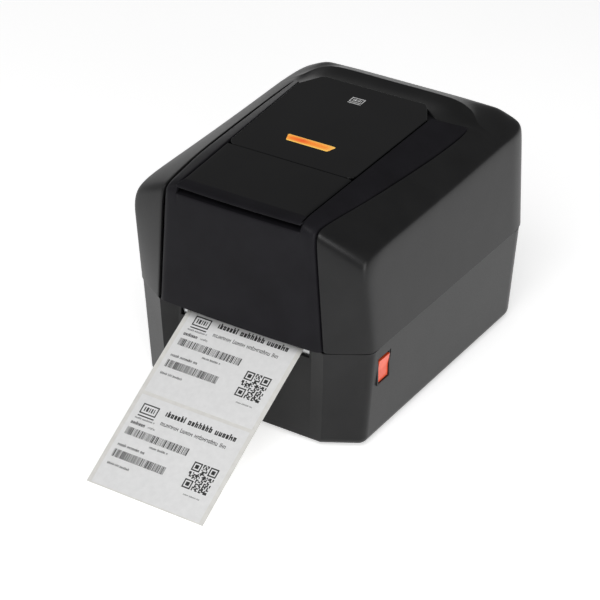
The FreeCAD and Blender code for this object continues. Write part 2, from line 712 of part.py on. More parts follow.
def gear(teeth, module, bore, width, tooth_at, shaft=0.0):
    """A spur gear standing on z = 0 with a tooth centred on the angle tooth_at, bored or on a shaft."""
    pitch_radius = teeth * module / 2
    base = pitch_radius * math.cos(PRESSURE)
    tip, root = pitch_radius + 0.9 * module, pitch_radius - 1.2 * module
    half_tooth = (math.pi * module / 2 - size("backlash")) / 2 / pitch_radius
    low = max(base, root)
    flank = []
    for step in range(5):
        radius = low + (tip - low) * step / 4
        flank.append((radius, half_tooth + involute_angle(base, pitch_radius) - involute_angle(base, radius)))
    flank.insert(0, (root, flank[0][1]))
    corners = []
    for tooth in range(teeth):
        centre = tooth_at + math.tau * tooth / teeth
        side = [(radius, centre - angle) for radius, angle in flank]
        side += [(radius, centre + angle) for radius, angle in flank[::-1]]
        corners += [Vector(radius * math.cos(angle), radius * math.sin(angle), 0) for radius, angle in side]
    face = Part.Face(Part.makePolygon(corners + corners[:1]))
    body = face.extrude(Vector(0, 0, width))
    if shaft:
        return body.fuse(Part.makeCylinder(bore, shaft, Vector(0, 0, -0.5)))
    return body.cut(Part.makeCylinder(bore, width + 2, Vector(0, 0, -1)))


def rack(start, stop, module, thickness, back, gap_at=0.0):
    """A rack along x: pitch line on y = 0, teeth facing -y, its back at y = back."""
    tooth_pitch = math.pi * module
    half = (tooth_pitch / 2 - size("backlash")) / 2
    lean = math.tan(PRESSURE) * module
    bar = Part.makeBox(stop - start, back - 1.2 * module, thickness, Vector(start, 1.2 * module, 0))
    teeth = []
    index = math.ceil((start - gap_at) / tooth_pitch)
    while gap_at + (index + 1) * tooth_pitch < stop:
        x = gap_at + (index + 0.5) * tooth_pitch
        corners = [Vector(x - half - lean * 1.3, 1.3 * module, 0), Vector(x - half + lean * 0.9, -0.9 * module, 0),
                   Vector(x + half - lean * 0.9, -0.9 * module, 0), Vector(x + half + lean * 1.3, 1.3 * module, 0)]
        teeth.append(Part.Face(Part.makePolygon(corners + corners[:1])).extrude(Vector(0, 0, thickness)))
        index += 1
    return bar.multiFuse(teeth).removeSplitter()


def gap_phase(tooth_at, teeth, towards, partner_teeth):
    """Tooth angle of a gear that meshes with another one lying in direction towards from it.

    tooth_at is a tooth's angle on the first gear; the answer is a tooth's angle on the partner."""
    pitch_angle = math.tau / teeth
    offset = (tooth_at + pitch_angle / 2 - towards) % pitch_angle
    return towards + math.pi - offset * teeth / partner_teeth


PLATEN_TEETH, IDLER_TEETH, PINION_TEETH = 28, 44, 16
TAKEUP_TEETH, RIBBON_PINION_TEETH = 40, 12
RACK_TEETH = 14
module = size("tooth_module")
width = size("gear_width")
TO_IDLER = math.radians(-70)          # from the platen axis to the idler
TO_PINION = math.radians(-25)         # from the idler to the motor pinion
platen_axis = Vector(0, size("nip_y"), size("platen_z"))
idler_axis = platen_axis + Vector(0, math.cos(TO_IDLER), math.sin(TO_IDLER)) * (
    module * (PLATEN_TEETH + IDLER_TEETH) / 2)
motor_axis = idler_axis + Vector(0, math.cos(TO_PINION), math.sin(TO_PINION)) * (
    module * (IDLER_TEETH + PINION_TEETH) / 2)
GEAR_X = -79.5                        # outer face of the platen train
ACROSS = SKETCH_TURNED["yz"]          # turns a gear's axis along x

idler_phase = gap_phase(TO_IDLER, PLATEN_TEETH, TO_IDLER, IDLER_TEETH)
pinion_phase = gap_phase(idler_phase, IDLER_TEETH, TO_PINION, PINION_TEETH)


def train_gear(label, teeth, bore, axis, phase, x=GEAR_X, shaft=0.0):
    shape = gear(teeth, module, bore, width, phase, shaft)
    return piece(label, coded(label, shape, Vector(x, axis.y, axis.z), ACROSS))


# ---------------------------------------------------------------- platen and its drive
piece("platen_roller", tube("platen_rubber", "liner_x + 2", "nip_y", "platen_z", "platen_radius", "shaft_radius"))
piece("platen_shaft", rod("platen_axle", "x", ("-80", "nip_y", "platen_z"), "shaft_radius", "146"))
piece("platen_bushings", group("bushings", *[
    cut(f"bushing_{i}",
        fuse(f"bushing_blank_{i}",
             rod(f"bushing_sleeve_{i}", "x", (f"{x}", "nip_y", "platen_z"), "shaft_radius + 2", "wall"),
             rod(f"bushing_flange_{i}", "x", (flange, "nip_y", "platen_z"), "shaft_radius + 3.2", "1.2")),
        rod(f"bushing_bore_{i}", "x", (f"{x} - 3", "nip_y", "platen_z"), "shaft_radius + 0.04", "10"))
    for i, (x, flange) in enumerate([("-cheek_x - wall", "-cheek_x - wall - 1.2"), ("cheek_x", "cheek_x + wall")])
]))
train_gear("platen_gear", PLATEN_TEETH, size("shaft_radius"), platen_axis, TO_IDLER)
train_gear("idler_gear", IDLER_TEETH, 2.05, idler_axis, idler_phase)
train_gear("motor_pinion", PINION_TEETH, 2.5, motor_axis, pinion_phase, shaft=18.0)
piece("idler_stud", coded("idler_stud", Part.makeCylinder(2.0, 9.0, Vector(GEAR_X - 1.5, idler_axis.y, idler_axis.z),
                                                          Vector(1, 0, 0)).fuse(
    Part.makeCylinder(4.0, 1.2, Vector(GEAR_X - 1.5, idler_axis.y, idler_axis.z), Vector(1, 0, 0)))))
PLATE = ("-73.5", "-72")
MOTOR_HALF = 21.0


def cylinder_x(x, axis, radius, length):
    return Part.makeCylinder(radius, length, Vector(x, axis.y, axis.z), Vector(1, 0, 0))


plate_blank = fuse(
    "gear_plate_blank",
    block("plate_head", PLATE, ("-56", "-12"), ("base_bottom_z + wall", "86")),
    block("plate_tail", PLATE, ("-13", "7"), ("base_bottom_z + wall", "74")),
    block("plate_foot", ("-73.5", "-58"), ("-56", "4"), ("base_bottom_z + wall", "base_bottom_z + wall + sheet_metal")),
)
plate_bores = coded("plate_bores", cylinder_x(-75, platen_axis, size("shaft_radius") + 0.6, 5).fuse(
    [cylinder_x(-75, idler_axis, 2.0, 5), cylinder_x(-75, motor_axis, 11.2, 5)]))
piece("gear_plate", cut("gear_plate_form", plate_blank, plate_bores))
motor_case = Part.makeBox(36, 2 * MOTOR_HALF, 2 * MOTOR_HALF,
                          Vector(-72, motor_axis.y - MOTOR_HALF, motor_axis.z - MOTOR_HALF))
motor_case = motor_case.makeChamfer(4.0, [edge for edge in motor_case.Edges if abs(run(edge).x) > 0.9])
motor_case = motor_case.fuse(cylinder_x(-74, motor_axis, 11.0, 3)).cut(cylinder_x(-75, motor_axis, 2.56, 14))
piece("stepper_motor", coded("stepper_motor", motor_case))

TEAR_TEETH = 58
tear_blank = wide_block("tear_blank", "mouth_floor_x - 3", ("-58.6", "-57.6"), ("66", "81.4"))
doc.recompute()
notch = Part.Face(Part.makePolygon([Vector(-0.9, -60, 81.5), Vector(0, -60, 80.3), Vector(0.9, -60, 81.5),
                                    Vector(-0.9, -60, 81.5)])).extrude(Vector(0, 4, 0))
notches = [notch.translated(Vector(2 * (i - (TEAR_TEETH - 1) / 2), 0, 0)) for i in range(TEAR_TEETH)]
piece("tear_bar", cut("tear_bar_form", tear_blank, coded("tear_notches", Part.makeCompound(notches))))


# ---------------------------------------------------------------- centring racks, roll holders, media guides
RACK_PITCH_RADIUS = RACK_TEETH * size("rack_module") / 2


def centring_rack(label, side, y, z, reach):
    """One rack of a centring pair; side is 1 for the right-hand piece and -1 for the left-hand one."""
    bar = rack(-20.0, reach, size("rack_module"), 3.0, 4.0)
    turned = Rotation() if side > 0 else Rotation(Vector(0, 0, 1), 180)
    return coded(label, bar, Vector(0, y + side * RACK_PITCH_RADIUS, z), turned)


def sided(side, near, far):
    """An x interval mirrored to the left for side -1."""
    return (near, far) if side > 0 else (f"-({far})", f"-({near})")


def centring_pinion(label, y, z):
    shape = gear(RACK_TEETH, size("rack_module"), 2.05, 4.0, math.pi / 2)
    return piece(label, coded(label, shape, Vector(0, y, z)))


HOLDER_Z, GUIDE_Z, GUIDE_Y = 19.0, 78.9, 2.0
for word, side in (("right", 1), ("left", -1)):
    piece(f"roll_holder_{word}", fuse(
        f"holder_{word}",
        block(f"holder_arm_{word}", sided(side, "liner_x + 1.4", "liner_x + 5"), ("102", "118"), ("18", "94")),
        block(f"holder_foot_{word}", sided(side, "liner_x + 1.4", "76"), ("99", "121"), ("17.1", "20")),
        rod(f"holder_hub_{word}", "x", ("liner_x - 7" if side > 0 else "-liner_x - 2", "roll_y", "roll_z"),
            "core_radius - 0.3", "9"),
        rod(f"holder_rim_{word}", "x", ("liner_x + 1.4" if side > 0 else "-liner_x - 4.4", "roll_y", "roll_z"),
            "18", "3"),
        centring_rack(f"holder_rack_{word}", side, size("roll_y"), HOLDER_Z, 57.0),
    ))
    piece(f"media_guide_{word}", fuse(
        f"guide_{word}",
        block(f"guide_fence_{word}", sided(side, "liner_x + 0.8", "liner_x + 2.8"), ("-8", "11"), ("78.7", "91")),
        block(f"guide_foot_{word}", sided(side, "liner_x + 0.8", "68"), ("-8", "13"), ("78.7", "80.5")),
        centring_rack(f"guide_rack_{word}", side, GUIDE_Y, GUIDE_Z, 56.0),
    ))
centring_pinion("holder_pinion", size("roll_y"), HOLDER_Z)
centring_pinion("guide_pinion", GUIDE_Y, GUIDE_Z)
piece("pinion_studs", group(
    "stud_pair",
    fuse("holder_stud", rod("holder_stud_pin", "z", ("0", "roll_y", "17"), "2", "7.2"),
         rod("holder_stud_head", "z", ("0", "roll_y", "23.3"), "3.2", "0.9")),
    fuse("guide_stud", rod("guide_stud_pin", "z", ("0", str(GUIDE_Y), "deck_z"), "2", "5"),
         rod("guide_stud_head", "z", ("0", str(GUIDE_Y), "deck_z + 4.7"), "3.2", "0.9")),
))
piece("gap_sensor", cut(
    "sensor_form",
    block("sensor_case", ("-8", "8"), ("-26", "-14"), ("78.8", "85.2")),
    wide_rod("sensor_bore", "12", "-20", "81.5", "1.55"),
))
piece("sensor_rail", wide_rod("sensor_rod", "cheek_x + wall", "-20", "81.5", "1.5"))

# ---------------------------------------------------------------- ribbon frame and its rollers
frame_sides = fuse("frame_sides", *[
    part for word, side in (("right", 1), ("left", -1)) for part in (
        block(f"frame_side_{word}", sided(side, "frame_x", "frame_x + 2"), ("-57", "50"), ("92", "172")),
        block(f"frame_flange_front_{word}", sided(side, "frame_x", "89"), ("-7", "7"), ("170", "172")),
        block(f"frame_flange_back_{word}", sided(side, "frame_x", "89"), ("33", "47"), ("170", "172")),
        rod(f"latch_stud_{word}", "x", (sided(side, "frame_x", "latch_x + 4.5")[0], "latch_y", "latch_z"),
            "2.5", "9.5"),
    )
])
frame_ties = fuse(
    "frame_ties",
    wide_block("head_tie", "frame_x + 1", ("-47", "-38"), ("116", "118.5")),
    wide_block("rear_tie", "frame_x + 1", ("41", "50"), ("118", "120.5")),
)
SPINDLE_BORE = "4.05"
frame_bores = fuse(
    "frame_bores",
    wide_rod("supply_bores", "frame_x + 5", "supply_y", "supply_z", SPINDLE_BORE),
    wide_rod("takeup_bores", "frame_x + 5", "takeup_y", "takeup_z", SPINDLE_BORE),
    posts("flange_bores", "1.6", FRAME_POSTS, ("165", "175")),
)
motor_rib = block("ribbon_motor_rib", ("-73", "-frame_x - 1"), ("-44", "-12"), ("126", "129"))
motor_wall = cut(
    "ribbon_motor_wall", block("ribbon_motor_blank", ("-74", "-72"), ("-44", "-12"), ("126", "157")),
    rod("ribbon_motor_hole", "x", ("-80", "takeup_y", "takeup_z - tooth_module * 26"), "3", "12"),
)
piece("ribbon_frame", cut("ribbon_frame_form", fuse("ribbon_frame_blank", frame_sides, frame_ties, motor_rib,
                                                    motor_wall), frame_bores))
piece("frame_screws", group("frame_screw_set", *[
    fuse(f"frame_screw_{i}", rod(f"frame_screw_head_{i}", "z", (x, y, "168"), "2.8", "2"),
         rod(f"frame_screw_shank_{i}", "z", (x, y, "169"), "1.5", "3"))
    for i, (x, y) in enumerate(FRAME_POSTS)
]))
for word, y, z, radius in (("supply", "supply_y", "supply_z", "supply_radius"),
                           ("takeup", "takeup_y", "takeup_z", "takeup_radius")):
    piece(f"ribbon_{word}_spindle", fuse(
        f"{word}_spindle",
        wide_rod(f"{word}_barrel", "ribbon_x + 2.5", y, z, "core_radius"),
        wide_rod(f"{word}_journal", "71" if word == "takeup" else "frame_x + 4", y, z, "4"),
        wide_rod(f"{word}_flange_left", "ribbon_x + 4", y, z, "6"),
    ))
    piece(f"ribbon_{word}_core", tube(f"{word}_core", "ribbon_x + 1", y, z, "core_radius + core_wall", "core_radius"))
    piece(f"ribbon_{word}_roll", tube(f"{word}_roll", "ribbon_x", y, z, radius, "core_radius + core_wall"))
takeup_axis = Vector(0, size("takeup_y"), size("takeup_z"))
supply_axis = Vector(0, size("supply_y"), size("supply_z"))
ribbon_motor_axis = takeup_axis - Vector(0, 0, module * (TAKEUP_TEETH + RIBBON_PINION_TEETH) / 2)
DOWN = -math.pi / 2
TAKEUP_GEAR_X = -71.0
train_gear("takeup_gear", TAKEUP_TEETH, 4.0, takeup_axis, DOWN, TAKEUP_GEAR_X)
RIBBON_SHAFT = 12.0                   # the ribbon pinion's shaft reaches this far into its motor
ribbon_pinion_shape = gear(RIBBON_PINION_TEETH, module, 1.5, width,
                           gap_phase(DOWN, TAKEUP_TEETH, DOWN, RIBBON_PINION_TEETH), shaft=width + 0.5)
ribbon_pinion_shape = ribbon_pinion_shape.fuse(Part.makeCylinder(1.5, RIBBON_SHAFT, Vector(0, 0, -RIBBON_SHAFT)))
piece("ribbon_pinion", coded("ribbon_pinion", ribbon_pinion_shape,
                             Vector(TAKEUP_GEAR_X, ribbon_motor_axis.y, ribbon_motor_axis.z), ACROSS))
piece("ribbon_motor", coded("ribbon_motor", cylinder_x(-97, ribbon_motor_axis, 12, 23).cut(
    cylinder_x(TAKEUP_GEAR_X - RIBBON_SHAFT - 1, ribbon_motor_axis, 1.55, 14))))

HEAD_Z = 87.3                         # underside of the print head
film_rear = Vector(0, -36.0, HEAD_Z - 0.35)
film_front = Vector(0, -57.5, HEAD_Z - 0.35)
film = [
    tangent_point(film_rear, supply_axis, size("supply_radius") + STAND_OFF, 1),
    film_rear, film_front,
    tangent_point(film_front, takeup_axis, size("takeup_radius") + STAND_OFF, 1),
]


def sheet_band(points, half, thickness):
    """A thin band made of flat runs, each a thin plate, joined at their corners."""
    plates = []
    for here, there in zip(points, points[1:]):
        along = (there - here).normalize()
        off = Vector(0, along.z, -along.y) * thickness
        ring = [here, there, there + off, here + off, here]
        face = Part.Face(Part.makePolygon(ring))
        face.translate(Vector(-half, 0, 0))
        plates.append(face.extrude(Vector(2 * half, 0, 0)))
    return plates[0].multiFuse(plates[1:])


piece("ribbon_film", coded("ribbon_film", sheet_band(film, size("ribbon_x"), size("ribbon_thick"))))

# ---------------------------------------------------------------- print head
piece("head_ceramic", wide_block("ceramic", "ribbon_x + 1", ("-54", "-40"), (str(HEAD_Z), f"{HEAD_Z} + 1")))
fins = fuse("fin_gaps", *[
    wide_block(f"fin_gap_{i}", "ribbon_x + 5", (f"-52.6 + {i} * 3", f"-51.1 + {i} * 3"),
               (f"{HEAD_Z} + 4.5", f"{HEAD_Z} + 10")) for i in range(5)
])
piece("print_head", cut("heat_sink", wide_block("heat_sink_blank", "ribbon_x + 1", ("-55", "-37.5"),
                                                (f"{HEAD_Z} + 1", f"{HEAD_Z} + 9")), fins))
bracket_bores = wide_rod("bracket_bores", "frame_x + 5", "head_pivot_y", "head_pivot_z", "2.55")
piece("head_bracket", cut(
    "bracket_form",
    fuse("bracket_blank",
         wide_block("bracket_top", "frame_x - 2", ("-55", "-35"), (f"{HEAD_Z} + 9", f"{HEAD_Z} + 10.5")),
         block("bracket_arm_left", ("-frame_x + 2", "-frame_x + 3.5"), ("-55", "1"), ("95", "109")),
         block("bracket_arm_right", ("frame_x - 3.5", "frame_x - 2"), ("-55", "1"), ("95", "109"))),
    bracket_bores,
))
piece("head_pivot_rod", wide_rod("head_rod", "frame_x", "head_pivot_y", "head_pivot_z", "2.5"))


def coil_spring(x, y, z, radius, wire, turns, length):
    """A compression spring standing on z."""
    helix = Part.makeHelix((length - wire) / turns, length - wire, radius)
    section = Part.Wire([Part.makeCircle(wire / 2, Vector(radius, 0, 0), Vector(0, 1, 0))])
    coil = Part.Wire(helix.Edges).makePipeShell([section], True, True)
    return coil.translated(Vector(x, y, z + wire / 2))


BRACKET_TOP = HEAD_Z + 10.5
SPRING_ROOM = 116.0 - BRACKET_TOP
piece("head_springs", coded("head_springs", Part.makeCompound([
    coil_spring(x, -42.5, BRACKET_TOP + 0.1, 3.6, 0.9, 6, SPRING_ROOM - 0.2) for x in (-30.0, 30.0)
])))

# ---------------------------------------------------------------- latch
LATCH_SIDE = [
    ("-60", "186"), ("-54.5", "186"), ("-50", "150"), ("-47", "121"), ("-31", "92"), ("-30", "catch_z - 2.3"),
    ("catch_y - 2.4", "catch_z - 2.3"), ("catch_y - 2.4", "catch_z - 6"), ("-33", "catch_z - 8"),
    ("-35", "90"), ("-55", "114"), ("-57", "130"), ("-60", "179"),
]
latch_arms = [
    prism(f"latch_arm_{word}", "yz", LATCH_SIDE, start, "3") for word, start in
    (("left", "-latch_x - 3"), ("right", "latch_x"))
]
piece("latch_bar", cut(
    "latch_form",
    fuse("latch_blank", *latch_arms, wide_block("latch_grip", "latch_x + 1", ("-60", "-55"), ("180", "186"))),
    wide_rod("latch_bores", "latch_x + 6", "latch_y", "latch_z", "2.55"),
))

# ---------------------------------------------------------------- electronics and power
piece("main_board", block("board", ("-88", "60"), ("180.6", "182.2"), ("base_bottom_z + wall", "72")))
BOARD_PARTS = [
    (("-80", "-66"), ("174.5", "180.6"), ("20", "34")), (("-58", "-46"), ("170.6", "180.6"), ("12", "24")),
    (("-30", "-4"), ("177.6", "180.6"), ("14", "40")), (("6", "20"), ("178.6", "180.6"), ("16", "30")),
    (("30", "52"), ("171.6", "180.6"), ("8", "22")),
]
piece("board_components", group("component_set", *[
    block(f"component_{i}", xs, ys, zs) for i, (xs, ys, zs) in enumerate(BOARD_PARTS)
]))


def socket(label, hollow, *keep):
    """A connector body on the board, open at the rear wall."""
    (left, right), (low, high) = SOCKETS[label]
    body = block(label + "_body", (left, right), ("182.2", "195.2"), (low, high))
    shape = cut(label + "_form", body, hollow)
    return fuse(label + "_whole", shape, *keep) if keep else shape


piece("power_inlet", socket("power_inlet", rod("jack_bore", "y", ("-79", "186", "33.5"), "3.2", "12"),
                            rod("jack_pin", "y", ("-79", "185", "33.5"), "1", "9")))
piece("data_ports", group(
    "data_sockets",
    socket("usb_port", block("usb_hollow", ("-58.2", "-49.8"), ("186", "197"), ("27.8", "35.2")),
           block("usb_tongue", ("-56.6", "-51.4"), ("185", "194.5"), ("30", "33"))),
    socket("serial_port", block("serial_hollow", ("-29", "-8"), ("190", "197"), ("28", "36.5")),
           block("serial_core", ("-27", "-10"), ("189", "192.5"), ("29.5", "35"))),
    socket("ethernet_port", block("ethernet_hollow", ("14", "26"), ("184", "197"), ("27", "36.5"))),
))

switch_case = block("switch_blank", ("93", "106.6"), ("switch_y - 9.2", "switch_y + 9.2"),
                    ("switch_z - 12.2", "switch_z + 12.2"))
switch_well = block("switch_well", ("95", "110"), ("switch_y - 7.8", "switch_y + 7.8"),
                    ("switch_z - 11.2", "switch_z + 11.2"))
axle_bore = rod("axle_bore", "y", ("99", "switch_y - 12", "switch_z"), "1.25", "24")
piece("switch_case", cut("switch_case_form", switch_case, switch_well, axle_bore))
ROCKER_TILT = 6.0
rocker_side = prism("rocker_side", "xz", [
    ("-2", "-10"), ("7.4", "-10.2"), ("6.7", "0"), ("7.4", "10.2"), ("-2", "10"), ("-2.5", "0"),
], "7.4", "14.8")
rocker_axle = rod("rocker_axle", "y", ("0", "-8.9", "0"), "1.2", "17.8")
rocker = group("rocker_body", fuse("rocker_whole", rocker_side, rocker_axle))
rocker.Placement = Placement(Vector(), Rotation(Vector(0, 1, 0), ROCKER_TILT))
place(rocker, "99", "switch_y", "switch_z")
piece("power_rocker", rocker)

# Boards under the top: status light below the window, feed switch below the key.
piece("indicator_board", fuse(
    "indicator_form",
    wide_block("indicator_plate", "59.5", ("22", "46"), ("193.5", "195")),
    wide_block("indicator_led", "16", ("30", "37"), ("195", "197.6")),
))
piece("feed_switch", fuse(
    "feed_switch_form",
    wide_block("feed_switch_plate", "59.5", ("-45", "-35"), ("186.5", "188")),
    wide_block("feed_switch_button", "3", ("-43", "-37"), ("188", "190.8")),
))

# ---------------------------------------------------------------- checks and files
doc.recompute()
faults = [item.Name for item in doc.Objects if "Invalid" in item.State or "Error" in item.State]
for item in pieces:
    if item.Shape.isNull() or not item.Shape.isValid() or not item.Shape.Solids:
        faults.append(item.Label)
if faults:
    raise RuntimeError("failed: " + ", ".join(faults))

os.makedirs("parts", exist_ok=True)
for item in pieces:
    item.Shape.exportStep(f"parts/{item.Label}.step")
    print(f"{item.Label}: {len(item.Shape.Solids)} solids, {item.Shape.Volume / 1000:.2f} cm3")
print(len(pieces), "pieces")
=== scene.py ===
import math
import random

import bmesh
import bpy
import numpy as np
from mathutils import Matrix, Vector
from mathutils.bvhtree import BVHTree


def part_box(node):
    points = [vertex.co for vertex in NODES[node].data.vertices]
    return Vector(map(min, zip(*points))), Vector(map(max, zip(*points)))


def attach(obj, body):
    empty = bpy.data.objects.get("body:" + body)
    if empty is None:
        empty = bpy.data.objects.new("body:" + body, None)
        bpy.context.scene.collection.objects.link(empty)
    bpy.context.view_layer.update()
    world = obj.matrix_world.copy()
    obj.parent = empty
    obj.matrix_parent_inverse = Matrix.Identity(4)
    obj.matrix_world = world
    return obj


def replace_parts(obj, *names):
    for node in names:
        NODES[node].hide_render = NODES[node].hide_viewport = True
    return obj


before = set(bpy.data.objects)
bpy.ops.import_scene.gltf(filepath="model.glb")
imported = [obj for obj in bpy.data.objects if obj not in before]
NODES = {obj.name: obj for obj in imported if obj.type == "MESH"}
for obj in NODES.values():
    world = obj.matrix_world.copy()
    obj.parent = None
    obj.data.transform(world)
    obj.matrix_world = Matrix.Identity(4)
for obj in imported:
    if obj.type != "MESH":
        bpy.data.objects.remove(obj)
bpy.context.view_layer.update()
MM = 0.001
scene = bpy.context.scene


# ---------------------------------------------------------------- materials
def set_input(shader, name, value):
    shader.inputs[name].default_value = value


def finish_of(name, dark, light, rough=(0.4, 0.5), metal=0.0, mottle=60.0, grain=1800.0, bump=0.06,
              grain_depth=0.00004, stretch=(1, 1, 1), specular=0.5, coat=0.0, coat_rough=0.1, edge_highlight_amount=0.0):
    """A moulded, cast or coated finish: mottled colour and roughness over a fine bumped grain, with an
    optional painted highlight that lightens convex edges.
    """
    material = bpy.data.materials.new(name)
    material.use_nodes = True
    tree = material.node_tree
    shader = tree.nodes["Principled BSDF"]
    set_input(shader, "Metallic", metal)
    set_input(shader, "Specular IOR Level", specular)
    set_input(shader, "Coat Weight", coat)
    set_input(shader, "Coat Roughness", coat_rough)
    place = tree.nodes.new("ShaderNodeTexCoord")
    mapping = tree.nodes.new("ShaderNodeMapping")
    mapping.inputs["Scale"].default_value = stretch
    tree.links.new(place.outputs["Object"], mapping.inputs["Vector"])
    broad = tree.nodes.new("ShaderNodeTexNoise")
    set_input(broad, "Scale", mottle)
    set_input(broad, "Detail", 5.0)
    tree.links.new(mapping.outputs["Vector"], broad.inputs["Vector"])
    ramp = tree.nodes.new("ShaderNodeValToRGB")
    ramp.color_ramp.elements[0].position = 0.3
    ramp.color_ramp.elements[1].position = 0.7
    ramp.color_ramp.elements[0].color = (*dark, 1)
    ramp.color_ramp.elements[1].color = (*light, 1)
    tree.links.new(broad.outputs["Fac"], ramp.inputs["Fac"])
    tree.links.new(ramp.outputs["Color"], shader.inputs["Base Color"])
    spread = tree.nodes.new("ShaderNodeMapRange")
    set_input(spread, "From Min", 0.3)
    set_input(spread, "From Max", 0.7)
    set_input(spread, "To Min", rough[0])
    set_input(spread, "To Max", rough[1])
    fine = tree.nodes.new("ShaderNodeTexNoise")
    set_input(fine, "Scale", grain)
    set_input(fine, "Detail", 3.0)
    tree.links.new(mapping.outputs["Vector"], fine.inputs["Vector"])
    tree.links.new(fine.outputs["Fac"], spread.inputs["Value"])
    tree.links.new(spread.outputs["Result"], shader.inputs["Roughness"])
    relief = tree.nodes.new("ShaderNodeBump")
    set_input(relief, "Strength", bump)
    set_input(relief, "Distance", grain_depth)
    tree.links.new(fine.outputs["Fac"], relief.inputs["Height"])
    tree.links.new(relief.outputs["Normal"], shader.inputs["Normal"])
    # Painted highlight: convex edges, found by pointiness, get a lighter base colour that stands in for light
    # caught by the rounded edges.
    if edge_highlight_amount:
        edges = tree.nodes.new("ShaderNodeNewGeometry")
        edge_highlight_mask = tree.nodes.new("ShaderNodeMapRange")
        set_input(edge_highlight_mask, "From Min", 0.52)
        set_input(edge_highlight_mask, "From Max", 0.62)
        set_input(edge_highlight_mask, "To Min", 0.0)
        set_input(edge_highlight_mask, "To Max", edge_highlight_amount)
        tree.links.new(edges.outputs["Pointiness"], edge_highlight_mask.inputs["Value"])
        edge_highlight_colour = tree.nodes.new("ShaderNodeMix")
        edge_highlight_colour.data_type = "RGBA"
        edge_highlight_colour.inputs[7].default_value = (*(min(1, c * 2.2 + 0.01) for c in light), 1)
        tree.links.new(edge_highlight_mask.outputs["Result"], edge_highlight_colour.inputs[0])
        tree.links.new(ramp.outputs["Color"], edge_highlight_colour.inputs[6])
        tree.links.new(edge_highlight_colour.outputs[2], shader.inputs["Base Color"])
    return material


# The case, front, chassis and guide plastics get the painted edge highlight, which lightens their convex
# edges.
MATERIALS = {
    "case_black": finish_of("case_plastic", (0.0075, 0.0075, 0.0078), (0.0105, 0.0105, 0.0108), (0.3, 0.4),
                            mottle=45, grain=1500, bump=0.22, grain_depth=0.00005, specular=0.26, edge_highlight_amount=0.25),
    "front_black": finish_of("front_plastic", (0.0095, 0.009, 0.0108), (0.0125, 0.012, 0.0145), (0.38, 0.5),
                             mottle=38, grain=1500, bump=0.2, grain_depth=0.00005, specular=0.08, edge_highlight_amount=0.25),
    "window_black": finish_of("gloss_panel", (0.0035, 0.0035, 0.004), (0.0055, 0.0055, 0.006), (0.07, 0.1),
                              mottle=20, grain=900, bump=0.01, specular=0.3),
    "frame_grey": finish_of("chassis_plastic", (0.055, 0.056, 0.058), (0.075, 0.076, 0.079), (0.45, 0.58),
                            mottle=50, grain=1300, bump=0.2, edge_highlight_amount=0.2),
    "guide_green": finish_of("guide_plastic", (0.06, 0.27, 0.12), (0.085, 0.34, 0.155), (0.4, 0.5),
                             mottle=70, grain=1200, bump=0.15, edge_highlight_amount=0.15),
    "gear_white": finish_of("acetal", (0.74, 0.73, 0.69), (0.83, 0.82, 0.79), (0.32, 0.42), mottle=120,
                            grain=1600, bump=0.08),
    "steel": finish_of("bright_steel", (0.46, 0.47, 0.48), (0.6, 0.61, 0.62), (0.22, 0.36), metal=1.0,
                       mottle=90, grain=900, bump=0.08, stretch=(0.15, 1, 1)),
    "aluminium": finish_of("cast_aluminium", (0.6, 0.61, 0.62), (0.72, 0.73, 0.74), (0.3, 0.42), metal=1.0,
                           mottle=110, grain=1100, bump=0.1, stretch=(0.2, 1, 1)),
    "brass": finish_of("brass", (0.55, 0.38, 0.13), (0.68, 0.49, 0.2), (0.25, 0.36), metal=1.0, mottle=130,
                       grain=1300, bump=0.08),
    "socket_metal": finish_of("tinned_shell", (0.4, 0.4, 0.41), (0.55, 0.55, 0.56), (0.25, 0.38), metal=1.0,
                              mottle=200, grain=1500, bump=0.08),
    "head_white": finish_of("glazed_ceramic", (0.66, 0.67, 0.66), (0.78, 0.79, 0.77), (0.12, 0.2), mottle=160,
                            grain=900, bump=0.03, coat=0.4),
    "roller_rubber": finish_of("ground_rubber", (0.012, 0.012, 0.012), (0.02, 0.02, 0.02), (0.68, 0.8),
                               mottle=200, grain=2600, bump=0.3, stretch=(0.3, 1, 1)),
    "foot_rubber": finish_of("foot_rubber", (0.016, 0.016, 0.016), (0.026, 0.026, 0.026), (0.7, 0.85),
                             mottle=150, grain=2400, bump=0.3),
    "board_green": finish_of("solder_mask", (0.008, 0.075, 0.03), (0.014, 0.12, 0.05), (0.25, 0.38),
                             mottle=260, grain=700, bump=0.1, coat=0.3),
    "chip_black": finish_of("moulded_black", (0.012, 0.012, 0.012), (0.019, 0.019, 0.019), (0.45, 0.6),
                            mottle=200, grain=2200, bump=0.2),
    "motor_black": finish_of("black_zinc", (0.02, 0.02, 0.021), (0.034, 0.034, 0.036), (0.32, 0.45),
                             metal=0.7, mottle=110, grain=1700, bump=0.12),
    "core_card": finish_of("core_card", (0.34, 0.25, 0.16), (0.44, 0.33, 0.22), (0.75, 0.9), mottle=260,
                           grain=1500, bump=0.35, stretch=(0.4, 1, 1)),
    "ribbon_black": finish_of("ink_ribbon", (0.008, 0.008, 0.009), (0.015, 0.015, 0.017), (0.16, 0.28),
                              mottle=150, grain=1400, bump=0.08, stretch=(0.1, 1, 1)),
    "liner": finish_of("glassine", (0.72, 0.71, 0.68), (0.79, 0.78, 0.75), (0.3, 0.42), mottle=180, grain=900,
                       bump=0.06),
    "label_white": finish_of("label_paper", (0.78, 0.78, 0.78), (0.83, 0.83, 0.83), (0.42, 0.55), mottle=220,
                             grain=2600, bump=0.08),
    "rocker_orange": finish_of("rocker_plastic", (0.78, 0.072, 0.018), (0.9, 0.1, 0.025), (0.28, 0.4),
                               mottle=120, grain=1500, bump=0.08, coat=0.2),
}


